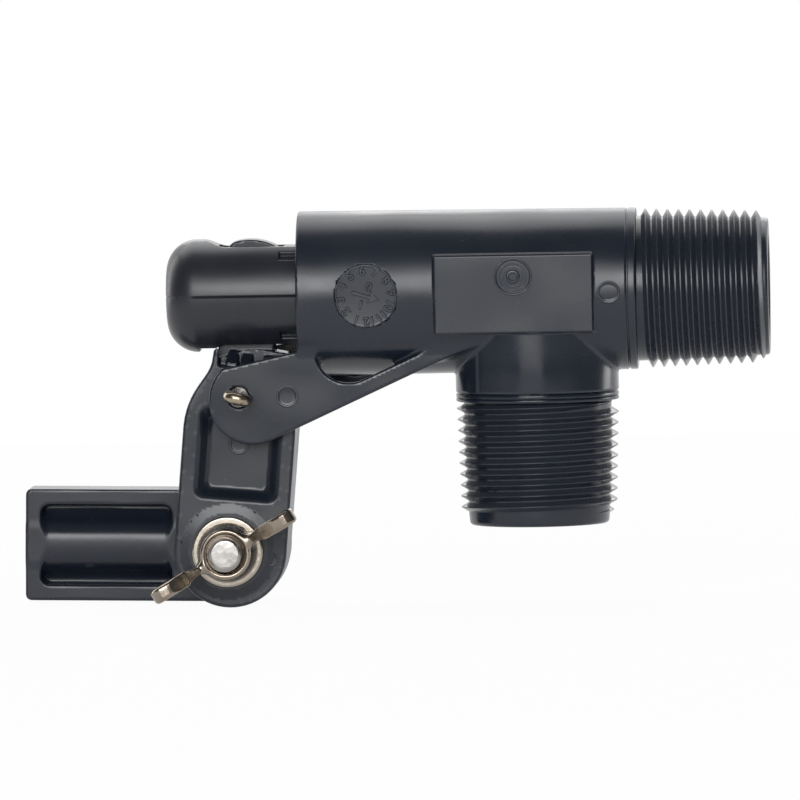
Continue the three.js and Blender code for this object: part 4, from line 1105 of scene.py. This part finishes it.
washer_low, washer_high = box_mm("clamp_washer")
washer_radius = (washer_high.x - washer_low.x) / 2
washer_thickness = washer_high.y - washer_low.y
washer = turned("flat_washer", [
    (bolt_hole_radius, 0, 0.1), (washer_radius, 0, 0.1),
    (washer_radius, washer_thickness, 0.45), (bolt_hole_radius, washer_thickness, 0.3),
], TO_FRONT, (bolt.x, washer_high.y, bolt.z), 96)
finish_piece(washer, "lever", stainless, "stainless", "clamp_washer")

# ----------------------------------------
# Wing nut: cold-forged stainless. Two rounded wings grow from a conical hub, thin at
# the root and thick at the tip, and the thread's mouth is countersunk.

nut_low, nut_high = box_mm("wing_nut")
nut_back = nut_high.y
nut_height = 6.4
nut_turn = math.radians(-30.3)
wing_span = 13.9
wing_height = nut_high.y - nut_low.y
nut_bore = 3.0
hub_radius = 5.0
hub_slope = 0.16
# a sloping side is this much nearer than its distance along the radius
hub_slope_share = 0.99


def wing_outline():
    """One wing seen along its flat: out from the axis, and up from the nut's base."""
    span, high = wing_span, wing_height
    points = [(2.6, 0.9)]
    for pull, finish in (
            ((span * 0.72, 2.2), (span * 0.93, high * 0.55)),
            ((span * 1.05, high * 0.95), (span * 0.86, high)),
            ((span * 0.6, high * 0.99), (span * 0.5, high * 0.78)),
            ((span * 0.42, nut_height), (3.2, nut_height * 0.86))):
        points += bezier([points[-1], pull, finish], 10)[1:]
    return points


def wing_nut_field(x, y, z):
    u, w = along_axes(bolt, nut_turn, x, z)
    up = nut_back - y
    around = from_axis(bolt, x, z)
    cone = around - 4.95 + (up - 1.2) * hub_slope
    hub_side = np.maximum(around - hub_radius, cone) * hub_slope_share
    hub = meet(hub_side, slab(up, 0, nut_height), 0.4)
    half_thickness = 0.75 + 0.5 * np.clip((up - nut_height) / 3, 0, 1)
    wings = meet(outline_distance(np.abs(u), up, wing_outline()), np.abs(w) - half_thickness, 0.62)
    whole = join(hub, wings, 1.1)
    countersink = around - nut_bore - np.maximum(0, up - nut_height + 0.55)
    return meet(whole, -countersink, 0.2)


wing_nut = moulded("forged_wing_nut", wing_nut_field, nut_low, nut_high, 0.24)
nut_steel = bright_stainless("forged_stainless", "857a6e", "b5aa9c", 0.2)
finish_piece(wing_nut, "wing_nut", nut_steel, "stainless", "wing_nut")

# ----------------------------------------
# Studio: a flat white floor, a white surround, soft boxes in front, behind and at both
# sides, a bank of light overhead, and the camera nearly level with the barrel.

middle = (cad_low + cad_high) / 2


def ray_kinds(tree):
    """Which rays come from the camera, and which are reflected or have passed through."""
    rays = add_node(tree, "ShaderNodeLightPath").outputs
    mirrored = calculated(tree, "MAXIMUM", rays["Is Glossy Ray"], rays["Is Transmission Ray"])
    return rays["Is Camera Ray"], mirrored


def white_card(name):
    """Matt white card with a faint fibre. The camera and reflections see most of it as
    plain white, and what is left of its shading keeps the valve's shadow."""
    material, tree, shader, place = new_material(name)
    tree.nodes.remove(shader)
    tone = mixed_colour(tree, noise(tree, place, 2, 3.0), linear("f4f4f4"), linear("fbfbfb"))
    card = add_node(tree, "ShaderNodeBsdfDiffuse", feeds={"Color": tone})
    glow = add_node(tree, "ShaderNodeEmission", feeds={"Color": (1, 1, 1, 1), "Strength": 1.0})
    seen, mirrored = ray_kinds(tree)
    seen_share = calculated(tree, "MULTIPLY", seen, 0.96)
    share = calculated(tree, "MAXIMUM", seen_share, calculated(tree, "MULTIPLY", mirrored, 0.5))
    mixed = add_node(tree, "ShaderNodeMixShader", feeds={
        0: share, 1: card.outputs[0], 2: glow.outputs[0]})
    tree.links.new(mixed.outputs[0], tree.nodes["Material Output"].inputs["Surface"])
    return material


floor_height = cad_low.z / MM
floor_corners = [(-500, -420), (400, -420), (400, 500), (-500, 500)]
floor = mesh_object("white_floor", [(x, y, floor_height) for x, y in floor_corners], [(0, 1, 2, 3)])
floor.data.materials.append(white_card("matt_white_card"))

# The camera sees plain white. Metal reflects white from behind the valve, and the rest of
# the room is dim.
world = bpy.data.worlds.new("studio")
world.use_nodes = True
bpy.context.scene.world = world
sky = world.node_tree
towards = add_node(sky, "ShaderNodeTexCoord").outputs["Generated"]
depth = add_node(sky, "ShaderNodeSeparateXYZ", feeds={"Vector": towards}).outputs["Y"]
behind = ranged(sky, depth, 0.1, 0.6, 0.0, 1.0)
seen, mirrored = ray_kinds(sky)
shown = calculated(sky, "MAXIMUM", seen, calculated(sky, "MULTIPLY", mirrored, behind))
sky.links.new(ranged(sky, shown, 0.0, 1.0, 0.1, 1.0), sky.nodes["Background"].inputs["Strength"])
sky.nodes["Background"].inputs["Color"].default_value = (1, 1, 1, 1)


def soft_box(name, azimuth, elevation, distance, width, height, brightness):
    """A flat lamp that faces the valve. Azimuth 0 is in front, and it grows to the right."""
    lamp = bpy.data.lights.new(name, "AREA")
    lamp.shape = "RECTANGLE"
    lamp.size = width
    lamp.size_y = height
    lamp.energy = brightness * math.pi * width * height
    made = placed(bpy.data.objects.new(name, lamp))
    across, rise = math.radians(azimuth), math.radians(elevation)
    away = Vector((math.sin(across) * math.cos(rise), -math.cos(across) * math.cos(rise), math.sin(rise)))
    made.location = middle + away * distance
    made.rotation_euler = away.to_track_quat("Z", "Y").to_euler()


soft_box("front_box", -5.7, 17, 1.0, 0.55, 0.36, 5.0)
soft_box("front_scrim", -5.7, 18.5, 1.02, 0.66, 0.8, 1.7)
soft_box("overhead_bank", 175, 62, 0.9, 1.4, 0.6, 1.5)
soft_box("back_box", 178, 26, 1.2, 0.8, 0.5, 1.6)
soft_box("right_strip", 118, 12, 1.0, 0.3, 0.9, 3.5)
soft_box("left_strip", -125, 12, 1.0, 0.25, 0.9, 2.5)

# The camera stands a little to the inlet's side and above, and is rolled slightly.
camera_distance = 2.24
camera_azimuth = math.radians(2.6)
camera_elevation = math.radians(2.93)
camera_roll = math.radians(1.07)
frame_width = 0.1325
aim = Vector((-0.06146, 0, -0.01788))

lens = bpy.data.cameras.new("camera")
lens.sensor_width = 36
lens.lens = lens.sensor_width * camera_distance / frame_width
lens.clip_start = 0.05
camera = placed(bpy.data.objects.new("camera", lens))
backwards = Vector((
    math.sin(camera_azimuth) * math.cos(camera_elevation),
    -math.cos(camera_azimuth) * math.cos(camera_elevation),
    math.sin(camera_elevation),
))
camera.location = aim + backwards * camera_distance
level = backwards.to_track_quat("Z", "Y")
camera.rotation_euler = (level.to_matrix() @ Matrix.Rotation(-camera_roll, 3, "Z")).to_euler()
bpy.context.scene.camera = camera
bpy.context.scene.view_settings.view_transform = "Standard"
